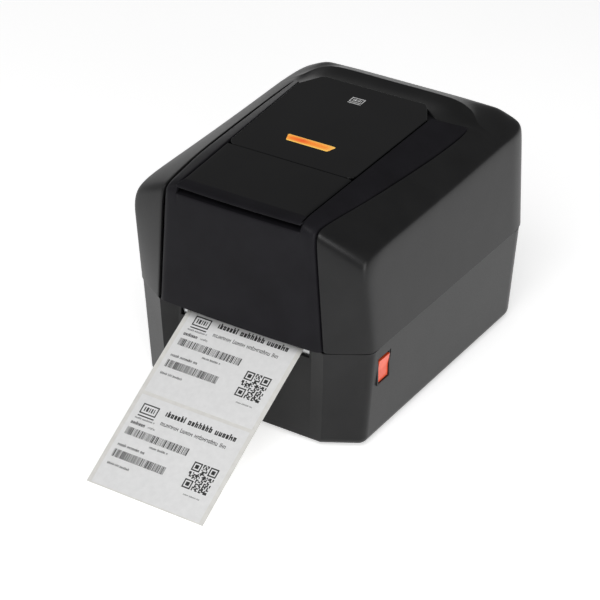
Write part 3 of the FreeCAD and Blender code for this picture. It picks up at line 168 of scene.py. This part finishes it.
def glowing_lens():
    """The lit bar: yellow edges round an orange middle, with a redder patch left of the centre."""
    material = MATERIALS["rocker_orange"].copy()
    material.name = "lit_lens"
    tree = material.node_tree
    shader = tree.nodes["Principled BSDF"]
    place = tree.nodes.new("ShaderNodeTexCoord")
    split = tree.nodes.new("ShaderNodeSeparateXYZ")
    tree.links.new(place.outputs["Generated"], split.inputs["Vector"])
    along = tree.nodes.new("ShaderNodeValToRGB")
    stops = [(0.0, (1.0, 0.42, 0.05)), (0.12, (1.0, 0.2, 0.012)), (0.36, (0.9, 0.085, 0.006)),
             (0.52, (1.0, 0.24, 0.015)), (0.86, (1.0, 0.3, 0.03)), (1.0, (1.0, 0.55, 0.12))]
    ramp = along.color_ramp
    while len(ramp.elements) < len(stops):
        ramp.elements.new(0.5)
    for element, (position, colour) in zip(ramp.elements, stops):
        element.position = position
        element.color = (*colour, 1)
    tree.links.new(split.outputs["X"], along.inputs["Fac"])
    across = tree.nodes.new("ShaderNodeValToRGB")
    edge_stops = [(0.0, 1.0), (0.2, 0.25), (0.5, 0.0), (0.8, 0.3), (1.0, 1.0)]
    ramp = across.color_ramp
    while len(ramp.elements) < len(edge_stops):
        ramp.elements.new(0.5)
    for element, (position, amount) in zip(ramp.elements, edge_stops):
        element.position = position
        element.color = (amount, amount, amount, 1)
    tree.links.new(split.outputs["Y"], across.inputs["Fac"])
    glow = tree.nodes.new("ShaderNodeMix")
    glow.data_type = "RGBA"
    glow.inputs[7].default_value = (1.0, 0.62, 0.12, 1)
    tree.links.new(across.outputs["Color"], glow.inputs[0])
    tree.links.new(along.outputs["Color"], glow.inputs[6])
    tree.links.new(glow.outputs[2], shader.inputs["Base Color"])
    tree.links.new(glow.outputs[2], shader.inputs["Emission Color"])
    set_input(shader, "Emission Strength", 0.3)
    return material


MATERIALS["lens_orange"] = glowing_lens()
INK = finish_of("label_ink", (0.012, 0.012, 0.012), (0.03, 0.03, 0.03), (0.35, 0.5), mottle=300, grain=2000,
                bump=0.05)
PALE_PRINT = finish_of("pale_print", (0.7, 0.7, 0.7), (0.8, 0.8, 0.8), (0.4, 0.5), mottle=300, grain=2000,
                       bump=0.03)

for node in NODES.values():
    slot_name = node.data.materials[0].name.split(".")[0]
    for i in range(len(node.data.materials)):
        node.data.materials[i] = MATERIALS[slot_name]


# ---------------------------------------------------------------- mesh helpers, in millimetres
SMOOTHING = 3


def link(obj, body, slot_name, material=None):
    obj.data.materials.clear()
    obj.data.materials.append(material or MATERIALS[slot_name])
    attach(obj, body)
    return obj


def new_object(name, mesh):
    obj = bpy.data.objects.new(name, mesh)
    scene.collection.objects.link(obj)
    return obj


def between(a, b, t):
    return tuple(p + (q - p) * t for p, q in zip(a, b))


class Cage:
    """A control cage for a smoothed surface, built from grids of points on the right half."""

    def __init__(self):
        self.points = []
        self.index = {}
        self.faces = []
        self.creased = []

    def vertex(self, point):
        key = tuple(round(c, 2) + 0.0 for c in point)
        if key not in self.index:
            self.index[key] = len(self.points)
            self.points.append([c * MM for c in point])
        return self.index[key]

    def grid(self, rows):
        """Quads between rows of points on the right half, and their mirror image on the left."""
        for sign in (1, -1):
            ids = [[self.vertex((sign * p[0], p[1], p[2])) for p in row] for row in rows]
            for low, high in zip(ids, ids[1:]):
                for a, b, c, d in zip(low, low[1:], high[1:], high):
                    ring = []
                    for v in (a, b, c, d):
                        if v not in ring:
                            ring.append(v)
                    if len(ring) > 2:
                        self.faces.append(ring if sign > 0 else ring[::-1])

    def crease(self, line, sharpness):
        """Hold the edges along a line, and along its mirror image, sharper than the rest."""
        for sign in (1, -1):
            ids = [self.vertex((sign * p[0], p[1], p[2])) for p in line]
            self.creased += [(a, b, sharpness) for a, b in zip(ids, ids[1:])]

    def build(self, name, body, slot_name, thickness, rim):
        """The smoothed piece: the cage given a wall thickness inwards, its rim edges creased by rim."""
        mesh = bpy.data.meshes.new(name)
        mesh.from_pydata(self.points, [], self.faces)
        form = bmesh.new()
        form.from_mesh(mesh)
        form.verts.ensure_lookup_table()
        layer = form.edges.layers.float.get("crease_edge") or form.edges.layers.float.new("crease_edge")
        for a, b, sharpness in self.creased:
            edge = form.edges.get((form.verts[a], form.verts[b]))
            if edge:
                edge[layer] = sharpness
        form.to_mesh(mesh)
        form.free()
        mesh.shade_smooth()
        obj = new_object(name, mesh)
        skin = obj.modifiers.new("skin", "SOLIDIFY")
        skin.thickness = thickness * MM
        skin.offset = -1
        skin.edge_crease_inner = rim
        skin.edge_crease_outer = rim
        skin.edge_crease_rim = 0
        skin.use_even_offset = True
        smooth = obj.modifiers.new("smooth", "SUBSURF")
        smooth.levels = SMOOTHING
        smooth.render_levels = SMOOTHING
        return link(obj, body, slot_name)


# ---------------------------------------------------------------- cover, outer shell
FOOT = 88.8


def crease_z(y):
    return float(np.interp(y, [-57.5, -36, 36, 87, 128, 161, 197], [173.6, 174.2, 175, 176.3, 178, 179, 179]))


def seam_point(y):
    """The joint between a top strip and the cover's side facet."""
    ys = [-66, -57.5, -10.5, 45, 99.5, 142]
    return (float(np.interp(y, ys, [68.9, 69.3, 76.4, 80.6, 83.9, 84.3])), y,
            float(np.interp(y, ys, [190.9, 191.3, 191.2, 190.3, 189.7, 190.9])))


def crown(y):
    return 195.6 + (y + 68.5) * 0.0608


def gloss_edge(y):
    return 55 + (y + 68.5) * 6.5 / 198


# Stations round the wall, from the front panel's seam to the middle of the back:
# foot point, sharp top point, roof direction inwards, fillet radius.
SIDE_YS = [-12, 42, 92, 142, 144, 146.5, 149, 150.5, 153, 163]
CREASE_X = 107.2
FACET_RISE = 0.53
stations = [
    ((76.8, -67.4, FOOT), (69.6, -65.9, 190.8), (0, 1, 0.04), 9.5),
    ((91.2, -59.0, FOOT), (88.2, -62.0, 182.6), (0, 1, 0.03), 12.5),
    ((105.0, -50.5, FOOT), (102.6, -58.7, 176.2), (0, 1, 0.02), 16.5),
    ((107.9, -47.3, FOOT), (CREASE_X, -57.2, 173.8), (-0.25, 0.97, 0.14), 18.0),
    ((109.0, -41.5, FOOT), (CREASE_X, -37.0, crease_z(-37)), (-1, 0, 0.47), 4.5),
]
stations += [((109.0, y, FOOT), (CREASE_X, y, crease_z(y)), (-1, 0, FACET_RISE), 4.0) for y in SIDE_YS]
stations += [
    ((109.0, 176.5, FOOT), (CREASE_X, 176.0, 179.4), (-1, 0, 0.54), 5.0),
    ((105.4, 193.9, FOOT), (103.4, 192.2, 181.8), (-0.6, -0.8, 0.5), 7.5),
    ((88.5, 197.5, FOOT), (88.0, 195.8, 186.0), (0, -1, 0.42), 11.0),
    ((83.0, 197.5, FOOT), (82.0, 195.9, 186.5), (0, -1, 0.42), 12.0),
]
BACK_XS = [(77.0, 76.0), (69.0, 68.0), (60.0, 59.5), (52.0, 52.0), (44.0, 44.0), (22.0, 22.0), (0.0, 0.0)]
stations += [((low, 197.5, FOOT), (high, 195.9, 186.7), (0, -1, 0.42), 12.0) for low, high in BACK_XS]
BROW = 3
REAR_CORNER = BROW + 1 + len(SIDE_YS) + 1 + 1
FILLET_SHARE = 0.24


def wall_point(station, drop):
    """A point on a station's wall, drop below its sharp top edge."""
    foot, top, _, _ = station
    return between(top, foot, drop / (top[2] - foot[2]))


def rim_point(station):
    """The middle of the fillet at a station's top edge."""
    _, top, inwards, radius = station
    reach = FILLET_SHARE * radius
    return tuple(t + reach * d for t, d in zip(top, (inwards[0], inwards[1], inwards[2] - 1)))


def roof_point(station):
    """Where the fillet at a station's top edge runs out into the roof."""
    _, top, inwards, radius = station
    return tuple(t + radius * d for t, d in zip(top, inwards))


shell = Cage()
walls = []
for share in (1.0, 0.985, 0.62, 0.3):
    walls.append([between(s[1], s[0], share) for s in stations])
walls.append([wall_point(s, s[3]) for s in stations])
walls.append([rim_point(s) for s in stations])
shell.grid(walls)
rims = walls[-1]

# Roof beside the strips: rows run from the seam outwards to the crease.
first_row = rims[:BROW + 1]
brow_back = [
    seam_point(-56.5),
    (88.0, -49.0, 182.7),
    (102.7, -38.2, 176.2),
    rims[BROW + 1],
]
roof = [first_row, brow_back]
for i, y in enumerate(SIDE_YS[:4]):
    inner = seam_point(y)
    rim = rims[BROW + 2 + i]
    inside = roof_point(stations[BROW + 2 + i])
    middle = between(inner, inside, 0.5)
    roof.append([inner, (middle[0], middle[1], middle[2] + 0.3), inside, rim])
shell.grid(roof)

# Roof behind the strips: the hollow behind the gloss panel, the ridge and the rear slope.
hollow_front = roof[-1][::-1] + [(76.5, 133.4, 193.0), (66.5, 122.2, 198.6), (57.5, 121.0, 204.2),
                                 (49.0, 130.0, 205.0), (24.0, 130.0, 205.1), (0.0, 130.0, 205.1)]
ridge = [(82.6, 149.0, 191.9), (78.0, 155.3, 194.6), (71.0, 158.4, 198.3), (60.5, 158.6, 201.9),
         (48.0, 158.3, 203.1), (24.0, 158.0, 203.3), (0.0, 157.6, 203.3)]
HOLLOW = [0.0, 0.0, 0.0, 0.3, 1.5, 2.3, 2.8, 2.9, 2.9, 2.9]


def facet_z(x, y):
    """The flat side facet's height: it rises inwards from the crease."""
    return crease_z(y) + FACET_RISE * (CREASE_X - x)


def roof_row(side_index, share, dip):
    """A row of the hollow, from the crease to the middle, part of the way to the ridge."""
    y = stations[side_index][1][1]
    row = [rims[side_index], roof_point(stations[side_index]), (93.6, y + 0.2, facet_z(93.6, y))]
    for k in range(3, 10):
        across, along, up = between(hollow_front[k], ridge[k - 3], share)
        row.append((across, along, up - HOLLOW[k] * dip))
    return row


hollow_rows = [hollow_front]
side = BROW + 2 + 3
for step, (share, dip) in enumerate([(0.3, 0.8), (0.62, 0.95), (0.93, 0.2), (1.0, 0.0)], start=1):
    hollow_rows.append(roof_row(side + step, share, dip))
rear_line = [rims[k] for k in range(REAR_CORNER, len(stations))]
rear_inner = [roof_point(stations[k]) for k in range(REAR_CORNER, len(stations))]


def slope_row(side_index, share, near_corner):
    """A row of the rear slope, part of the way from the ridge to the back fillet."""
    top = hollow_rows[4]
    row = [rims[side_index], near_corner]
    for k in range(2, 10):
        row.append(between(top[k], rear_inner[k], share))
    return row


hollow_rows.append(slope_row(side + 5, 0.08, (102.6, 153.5, facet_z(102.6, 153.5))))
hollow_rows.append(slope_row(side + 6, 0.45, (100.6, 166.0, facet_z(100.6, 166.0))))
hollow_rows.append(slope_row(side + 7, 1.0, (96.0, 181.0, 184.9)))
hollow_rows.append(rear_line)
shell.grid([row[::-1] for row in hollow_rows])
shell.crease(hollow_rows[4][4:], 0.35)
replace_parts(shell.build("cover_body", "cover", "case_black", thickness=2.3, rim=0.75), "cover_shell")

# ---------------------------------------------------------------- cover, front panel and its two top strips
GAP_LOW = 187.7
BROW_RADIUS = 9.0
PANEL_HEAD = 186.3
HALF_AT_FOOT = 75.6
HALF_AT_HEAD = 68.3


def panel_half(z):
    """Half the panel's width at a height."""
    return HALF_AT_FOOT + (HALF_AT_HEAD - HALF_AT_FOOT) * (z - FOOT) / (PANEL_HEAD - FOOT)


def panel_front(x, z):
    """The front panel's face: nearly flat, fuller in the middle and towards the seam."""
    share = (z - FOOT) / (PANEL_HEAD - FOOT)
    return -69.3 + 1.9 * share - (1.7 - 0.7 * share) * (1 - (x / panel_half(z)) ** 2)


def panel_row(z):
    """One row of the panel, from the middle out to the flange behind its rounded edge."""
    heights = [z] * 10 if isinstance(z, float) else z
    half = [panel_half(h) for h in heights]
    across = [0.0, 28.0, 50.0, 56.0, half[4] - 10.4, half[5] - 6.8, half[6] - 4.2, half[7] - 1.1, half[8],
              half[9] - 0.2]
    back = [0, 0, 0, 0, 0, 0, 0.2, 1.7, 5.4, 9.4]
    return [(x, panel_front(min(x, h - 0.7), v) + b, v) for x, h, b, v in zip(across, half, back, heights)]


def strip_row(y, skew=0.0):
    """A row of a top strip, from the gloss panel's edge out to the flange in the seam."""
    inner = gloss_edge(y) + 0.6
    top = crown(y) + 0.1
    outer = seam_point(y + skew)
    edge = outer[0] - 1.1
    drop = (top - outer[2] - 0.4) / (edge - inner)

    def on(x, below=0.0):
        return (x, y + skew * (x - inner) / (edge - inner), top - drop * (x - inner) - below)

    return [on(inner, 3.8), on(inner, 0.5), on(inner + 1.5), on(inner + 0.5 * (edge - inner)), on(edge - 3.4),
            on(edge - 0.5, 0.7), on(edge, 4.6), on(edge - 0.2, 9.0)]


front = Cage()
start = strip_row(-58.0)
tops = [start[1][2] - 0.2] * 4 + [p[2] for p in start[2:]]
knee = panel_row([t - BROW_RADIUS for t in tops[:8]] + [tops[7] - BROW_RADIUS, tops[7] - BROW_RADIUS])
rows = [panel_row(z) for z in (FOOT + 0.2, FOOT + 1.8, 106.0, 130.0, 154.0, 172.0)]
front.grid(rows + [knee])
lip = [(x, y + 0.9, GAP_LOW) for x, y, z in knee[:4]]
shelf = [(x, y + 10.5, GAP_LOW - 0.5) for x, y, z in knee[:4]]
back_wall = [(x, y + 11.0, GAP_LOW + 4.5) for x, y, z in knee[:4]]
front.grid([knee[:4], lip, shelf, back_wall])
front.crease(lip, 0.6)
turn = [(p[0] * 0.5 + q[0] * 0.5, p[1] + FILLET_SHARE * (q[1] - p[1]), q[2] - FILLET_SHARE * (q[2] - p[2]))
        for p, q in zip(knee[3:], start[1:])]
STRIP_ROWS = [(-45.0, 0), (-25.0, 0), (-10.5, 0), (15.0, 0), (45.0, 0), (68.0, 3.0), (86.0, 13.0),
              (101.0, 23.0), (110.6, 28.4), (112.2, 29.0)]
strips = [start] + [strip_row(y, skew) for y, skew in STRIP_ROWS]
end_low = [(x + 0.1, y + 0.5, z - 4.2) for x, y, z in strips[-1]]
front.grid([knee[3:], turn, start[1:]])
front.grid(strips + [end_low])
cheek = [(56.4, knee[3][1] + 6.5, 187.0), (56.3, knee[3][1] + 5.5, 190.5), start[0]]
front.grid([[c, e] for c, e in zip(cheek, (knee[3], turn[0], start[1]))])
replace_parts(front.build("front_panel_and_strips", "cover", "front_black", thickness=1.8, rim=0.6),
            "front_cover")


# ---------------------------------------------------------------- gloss panel, feed key, status lens and mark
def rounded_outline(corners, radius, steps=5):
    """A closed outline with each corner turned by an arc."""
    points = []
    count = len(corners)
    for i in range(count):
        before, here, after = (Vector(corners[(i + k) % count]) for k in (-1, 0, 1))
        into, out = (before - here).normalized(), (after - here).normalized()
        angle = into.angle(out)
        reach = min(radius / math.tan(angle / 2), 0.45 * (before - here).length, 0.45 * (after - here).length)
        centre = here + (into + out).normalized() * (reach / math.cos(angle / 2))
        first, last = here + into * reach - centre, here + out * reach - centre
        for k in range(steps + 1):
            arm = first.lerp(last, k / steps).normalized() * first.length
            points.append(centre + arm)
    return points


def slab(name, body, slot_name, outline, height, thickness, bevel):
    """A plate whose top follows height(x, y), with its edges rounded over."""
    count = len(outline)
    points = [(p[0] * MM, p[1] * MM, height(p[0], p[1]) * MM) for p in outline]
    points += [(p[0] * MM, p[1] * MM, (height(p[0], p[1]) - thickness) * MM) for p in outline]
    faces = [list(range(count)), list(range(2 * count - 1, count - 1, -1))]
    faces += [[i, i + count, (i + 1) % count + count, (i + 1) % count] for i in range(count)]
    mesh = bpy.data.meshes.new(name)
    mesh.from_pydata(points, [], faces)
    form = bmesh.new()
    form.from_mesh(mesh)
    bmesh.ops.recalc_face_normals(form, faces=form.faces)
    form.to_mesh(mesh)
    form.free()
    mesh.shade_smooth()
    obj = new_object(name, mesh)
    edge = obj.modifiers.new("edge", "BEVEL")
    edge.width = bevel * MM
    edge.segments = 4
    edge.limit_method = "ANGLE"
    edge.angle_limit = math.radians(50)
    edge.harden_normals = True
    return link(obj, body, slot_name)


def mirrored_outline(half):
    return half + [(-x, y) for x, y in half[::-1]]


def on_top(x, y):
    return crown(y) - 0.05


KEY_Y = 3.5
window = rounded_outline(mirrored_outline([(gloss_edge(KEY_Y) - 0.1, KEY_Y + 0.35),
                                           (gloss_edge(109) - 0.1, 109.2), (48.6, 129.2)]), 7.0)
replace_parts(slab("gloss_window", "cover", "window_black", window, on_top, 2.0, 0.55), "window_panel")

# A plate under the gloss panel and the key closes the gaps round them.
bed = rounded_outline(mirrored_outline([(gloss_edge(-50) + 1.4, -50), (gloss_edge(112) + 5.0, 117.0),
                                        (52.0, 130.4)]), 2.0)
slab("panel_bed", "cover", "front_black", bed, lambda x, y: crown(y) - 5.6, 1.0, 0.2)

key = Cage()
key_rows = []
for y in (KEY_Y - 0.35, KEY_Y - 1.6, -25.0, -50.0, -56.5):
    side = gloss_edge(y) - 0.1
    top = crown(y) - 0.05
    key_rows.append([(0, y, top), (28, y, top), (side - 2.2, y, top), (side - 0.25, y, top - 0.25),
                     (side, y, top - 2.0)])


LIP_XS = (0, 28, 53.8, 55.7, 56.0)
LIP_BOW = (1.0, 0.75, 0, 0, -0.6)


def lip_row(y, z):
    """A row along the key's front lip, bowed forward in the middle."""
    return [(x, y - 1.2 * bow, z) for x, bow in zip(LIP_XS, LIP_BOW)]


key_rows += [lip_row(-62.4, 195.9), lip_row(-66.4, 194.2), lip_row(-66.4, 192.8), lip_row(-64.8, 192.5),
             lip_row(-62.8, 193.6)]
key.grid([row[::-1] for row in key_rows])
flap = key.build("feed_key_flap", "feed_key", "window_black", thickness=1.4, rim=0.6)
flap.data.materials.append(MATERIALS["front_black"])
LIP_START = -56.6
for face in flap.data.polygons:
    if face.center.y < LIP_START * MM:
        face.material_index = 1
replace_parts(flap, "feed_key")

lens = rounded_outline([(-22.6, 37.6), (-19.4, 29.2), (18.4, 29.2), (21.8, 37.6)], 1.0)
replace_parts(slab("status_bar", "cover", "lens_orange", lens, lambda x, y: crown(y) + 0.3, 1.6, 0.35),
            "status_lens")


def plates(name, body, slot_name, material, shapes, height):
    """Thin printed shapes lying on a surface, each a list of corner points."""
    points, faces = [], []
    for shape in shapes:
        faces.append(list(range(len(points), len(points) + len(shape))))
        points += [tuple(c * MM for c in height(x, y)) for x, y in shape]
    mesh = bpy.data.meshes.new(name)
    mesh.from_pydata(points, [], faces)
    obj = new_object(name, mesh)
    film = obj.modifiers.new("film", "SOLIDIFY")
    film.thickness = 0.03 * MM
    film.offset = -1
    return link(obj, body, slot_name, material)


def rect(x0, y0, x1, y1):
    return [(x0, y0), (x1, y0), (x1, y1), (x0, y1)]


def pictogram(cx, cy, scale):
    """A plain label sign: a frame with bars in it and a rule below."""
    shapes = []
    for x0, y0, x1, y1 in ((-6, 3.6, 6, 4.4), (-6, -2.6, 6, -1.8), (-6, -1.8, -5.2, 3.6), (5.2, -1.8, 6, 3.6),
                           (-3.8, -0.6, -3.0, 2.4), (-2.2, -0.6, -0.8, 2.4), (0.0, -0.6, 0.6, 2.4),
                           (1.4, -0.6, 2.4, 2.4), (3.2, -0.6, 3.8, 2.4), (-6, -4.6, 6, -3.8)):
        shapes.append(rect(cx + x0 * scale, cy + y0 * scale, cx + x1 * scale, cy + y1 * scale))
    return shapes


plates("cover_sign", "cover", "label_white", PALE_PRINT, pictogram(-3, 106.8, 1.0),
       lambda x, y: (x, y, crown(y) + 0.02))

# ---------------------------------------------------------------- printing on the labels
paper = NODES["printed_labels"]
surface = BVHTree.FromPolygons([v.co for v in paper.data.vertices],
                               [tuple(p.vertices) for p in paper.data.polygons])


LINE_X = 31.0
LINE_START = -60.0
LINE_TOP = 85.0
LINE_STEP = 0.25
PRINT_LIFT = 0.045


def paper_line():
    """Points down the strip outside the printer, with the length travelled from the first."""
    line, travelled = [], 0.0
    y = LINE_START
    low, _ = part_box("printed_labels")
    while y > low.y / MM:
        hit = surface.ray_cast(Vector((LINE_X, y, LINE_TOP)) * MM, Vector((0, 0, -1)))[0]
        if hit is not None:
            point = (hit.y / MM, hit.z / MM)
            if line:
                travelled += math.dist(point, line[-1][1])
            line.append((travelled, point))
        y -= LINE_STEP
    return line


LINE = paper_line()
REACH = np.array([t for t, _ in LINE])
LINE_Y = np.array([p[0] for _, p in LINE])
LINE_Z = np.array([p[1] for _, p in LINE])
FOOT_REACH = float(REACH[-1])


def on_paper(x, up):
    """A point printed on the strip: x across, up the length above the strip's free end."""
    at = FOOT_REACH - up
    return (x, float(np.interp(at, REACH, LINE_Y)) - 0.01, float(np.interp(at, REACH, LINE_Z)) + PRINT_LIFT)


def greeked(rng, x, base, height, width, weight):
    """A row of pseudo letters: stems and bars that say nothing."""
    shapes = []
    pen = x
    letters = 0
    word = rng.randint(5, 8)
    while pen < x + width:
        if letters == word:
            pen += height * 0.45
            letters, word = 0, rng.randint(3, 9)
            continue
        cell = height * rng.uniform(0.42, 0.62)
        tall = height * rng.choice((0.72, 0.72, 1.0))
        kind = rng.choice((0, 1, 1, 2, 2, 3, 4, 4))
        bar = weight * height
        shapes.append(rect(pen, base, pen + bar, base + tall))
        if kind != 0:
            shapes.append(rect(pen + cell - bar, base, pen + cell, base + height * 0.7))
        if kind in (1, 2):
            shapes.append(rect(pen + bar, base + height * 0.7 - bar, pen + cell - bar, base + height * 0.7))
        if kind in (2, 3):
            shapes.append(rect(pen + bar, base, pen + cell - bar, base + bar))
        if kind == 4:
            shapes.append(rect(pen + bar, base + height * 0.36, pen + cell - bar, base + height * 0.36 + bar))
        pen += (bar if kind == 0 else cell) + height * 0.15
        letters += 1
    return shapes


def barcode(rng, x, base, width, height):
    shapes = []
    pen = x
    while pen < x + width:
        bar = rng.choice((0.35, 0.35, 0.7, 1.05))
        shapes.append(rect(pen, base, min(pen + bar, x + width), base + height))
        pen += bar + rng.choice((0.35, 0.45, 0.8))
    return shapes


def matrix_code(rng, x, base, width, cells=21):
    """A block of random dark cells with three corner squares."""
    step = width / cells
    shapes = []
    for cx, cy in ((0, 0), (0, cells - 7), (cells - 7, cells - 7)):
        x0, y0 = x + cx * step, base + cy * step
        side = 7 * step
        shapes += [rect(x0, y0, x0 + side, y0 + step), rect(x0, y0 + side - step, x0 + side, y0 + side),
                   rect(x0, y0 + step, x0 + step, y0 + side - step),
                   rect(x0 + side - step, y0 + step, x0 + side, y0 + side - step),
                   rect(x0 + 2 * step, y0 + 2 * step, x0 + side - 2 * step, y0 + side - 2 * step)]
    for j in range(cells):
        run = None
        for i in range(cells + 1):
            corner = (i < 8 and j < 8) or (i < 8 and j >= cells - 8) or (i >= cells - 8 and j >= cells - 8)
            dark = i < cells and not corner and rng.random() < 0.5
            if dark and run is None:
                run = i
            if not dark and run is not None:
                shapes.append(rect(x + run * step, base + j * step, x + i * step, base + (j + 1) * step))
                run = None
    return shapes


def printed(base):
    """Everything printed on one label whose lower edge is base above the strip's free end."""
    rng = random.Random(7)
    left = -50.0
    shapes = []
    shapes += greeked(rng, left + 28, base + 67.5, 5.0, 66, 0.22)
    shapes += greeked(rng, left + 28, base + 59.5, 3.6, 60, 0.13)
    shapes += greeked(rng, left + 4, base + 53.0, 3.0, 13, 0.2)
    shapes += greeked(rng, left + 20, base + 53.4, 2.0, 7, 0.1)
    shapes += pictogram(left + 13.5, base + 66.5, 1.25)
    shapes += greeked(rng, left + 5, base + 58.2, 1.7, 17, 0.14)
    shapes += barcode(rng, left + 4, base + 43.5, 58, 6.4)
    shapes += greeked(rng, left + 30, base + 39.0, 2.0, 16, 0.16)
    shapes += greeked(rng, left + 4, base + 32.8, 2.4, 24, 0.18)
    shapes += barcode(rng, left + 4, base + 23.0, 48, 6.6)
    shapes += greeked(rng, left + 4, base + 16.2, 2.0, 20, 0.16)
    shapes += greeked(rng, 26.0, base + 14.6, 1.3, 14, 0.12)
    shapes += matrix_code(rng, 21.2, base + 20.0, 22.4)
    return shapes


FIRST_EDGE = 1.2
LABEL_PITCH = 83.0
for number in (0, 1):
    plates(f"label_print_{number}", "base", "label_white", INK,
           printed(FIRST_EDGE + number * LABEL_PITCH), on_paper)


# ---------------------------------------------------------------- inside the cover: posts and hinge knuckles
def turned(name, body, slot_name, axis, centre, length, radius, bevel):
    """A rod about one axis with its ends rounded over."""
    form = bmesh.new()
    bmesh.ops.create_cone(form, cap_ends=True, segments=40, radius1=radius * MM, radius2=radius * MM,
                          depth=length * MM)
    mesh = bpy.data.meshes.new(name)
    form.to_mesh(mesh)
    form.free()
    if axis == "x":
        mesh.transform(Matrix.Rotation(math.pi / 2, 4, "Y"))
    mesh.transform(Matrix.Translation(Vector(centre) * MM))
    mesh.shade_smooth()
    obj = new_object(name, mesh)
    edge = obj.modifiers.new("edge", "BEVEL")
    edge.width = bevel * MM
    edge.segments = 3
    edge.limit_method = "ANGLE"
    edge.harden_normals = True
    return link(obj, body, slot_name)


for i, (x, y) in enumerate([(side * 84, y) for side in (-1, 1) for y in (0, 40)]):
    turned(f"frame_post_{i}", "cover", "case_black", "z", (x, y, 178.5), 13.0, 4.0, 0.4)
HINGE_Y, HINGE_Z = 191.5, 94.0
for i, x in enumerate([side * reach for side in (-1, 1) for reach in (51.3, 68.7)]):
    turned(f"hinge_knuckle_{i}", "cover", "case_black", "x", (x, HINGE_Y, HINGE_Z), 10.6, 5.8, 0.5)


# ---------------------------------------------------------------- floor, light and camera
CAMERA_PLACE = (909.3, -1357.3, 1067.4)
AZIMUTH, ELEVATION, ROLL = 33.48, 31.23, -0.57
SENSOR = 36
FOCAL_LENGTH = 144.894
FLOOR_REACH = 6.0


def camera():
    data = bpy.data.cameras.new("camera")
    data.lens = FOCAL_LENGTH
    data.sensor_width = SENSOR
    data.clip_end = 30
    obj = new_object("camera", data)
    azimuth, elevation, roll = (math.radians(a) for a in (AZIMUTH, ELEVATION, ROLL))
    back = Vector((math.sin(azimuth) * math.cos(elevation), -math.cos(azimuth) * math.cos(elevation),
                   math.sin(elevation)))
    right = Vector((math.cos(azimuth), math.sin(azimuth), 0))
    up = back.cross(right)
    right_rolled = right * math.cos(roll) + up * math.sin(roll)
    up_rolled = up * math.cos(roll) - right * math.sin(roll)
    turn = Matrix((right_rolled, up_rolled, back)).transposed().to_4x4()
    obj.matrix_world = Matrix.Translation(Vector(CAMERA_PLACE) * MM) @ turn
    scene.camera = obj


def light(name, place, target, size, power):
    """A square soft light in metres and watts, turned to its target."""
    data = bpy.data.lights.new(name, "AREA")
    data.energy = power
    data.size = size
    obj = new_object(name, data)
    obj.location = place
    obj.rotation_euler = (Vector(target) - Vector(place)).to_track_quat("-Z", "Y").to_euler()


def studio():
    mesh = bpy.data.meshes.new("floor")
    corners = [(x * FLOOR_REACH, y * FLOOR_REACH, 0) for x, y in ((-1, -1), (1, -1), (1, 1), (-1, 1))]
    mesh.from_pydata(corners, [], [(0, 1, 2, 3)])
    floor = new_object("floor", mesh)
    paint = finish_of("floor_paint", (0.9, 0.9, 0.9), (0.92, 0.92, 0.92), (0.75, 0.85), mottle=3, grain=300,
                      bump=0.02, specular=0.1)
    set_input(paint.node_tree.nodes["Principled BSDF"], "Emission Color", (1, 1, 1, 1))
    set_input(paint.node_tree.nodes["Principled BSDF"], "Emission Strength", 0.55)
    floor.data.materials.append(paint)
    world = bpy.data.worlds.new("studio")
    scene.world = world
    world.use_nodes = True
    sky = world.node_tree.nodes["Background"]
    set_input(sky, "Color", (1, 1, 1, 1))
    set_input(sky, "Strength", 0.22)
    light("key", (0.5, -1.3, 1.7), (0, 0, 0.1), 1.2, 22)
    light("side", (0.85, -0.35, 0.3), (0.1, -0.06, 0.1), 0.4, 2.4)
    light("fill", (-1.6, -0.5, 1.2), (0, 0, 0.1), 1.2, 4)


camera()
studio()
scene.view_settings.view_transform = "Standard"
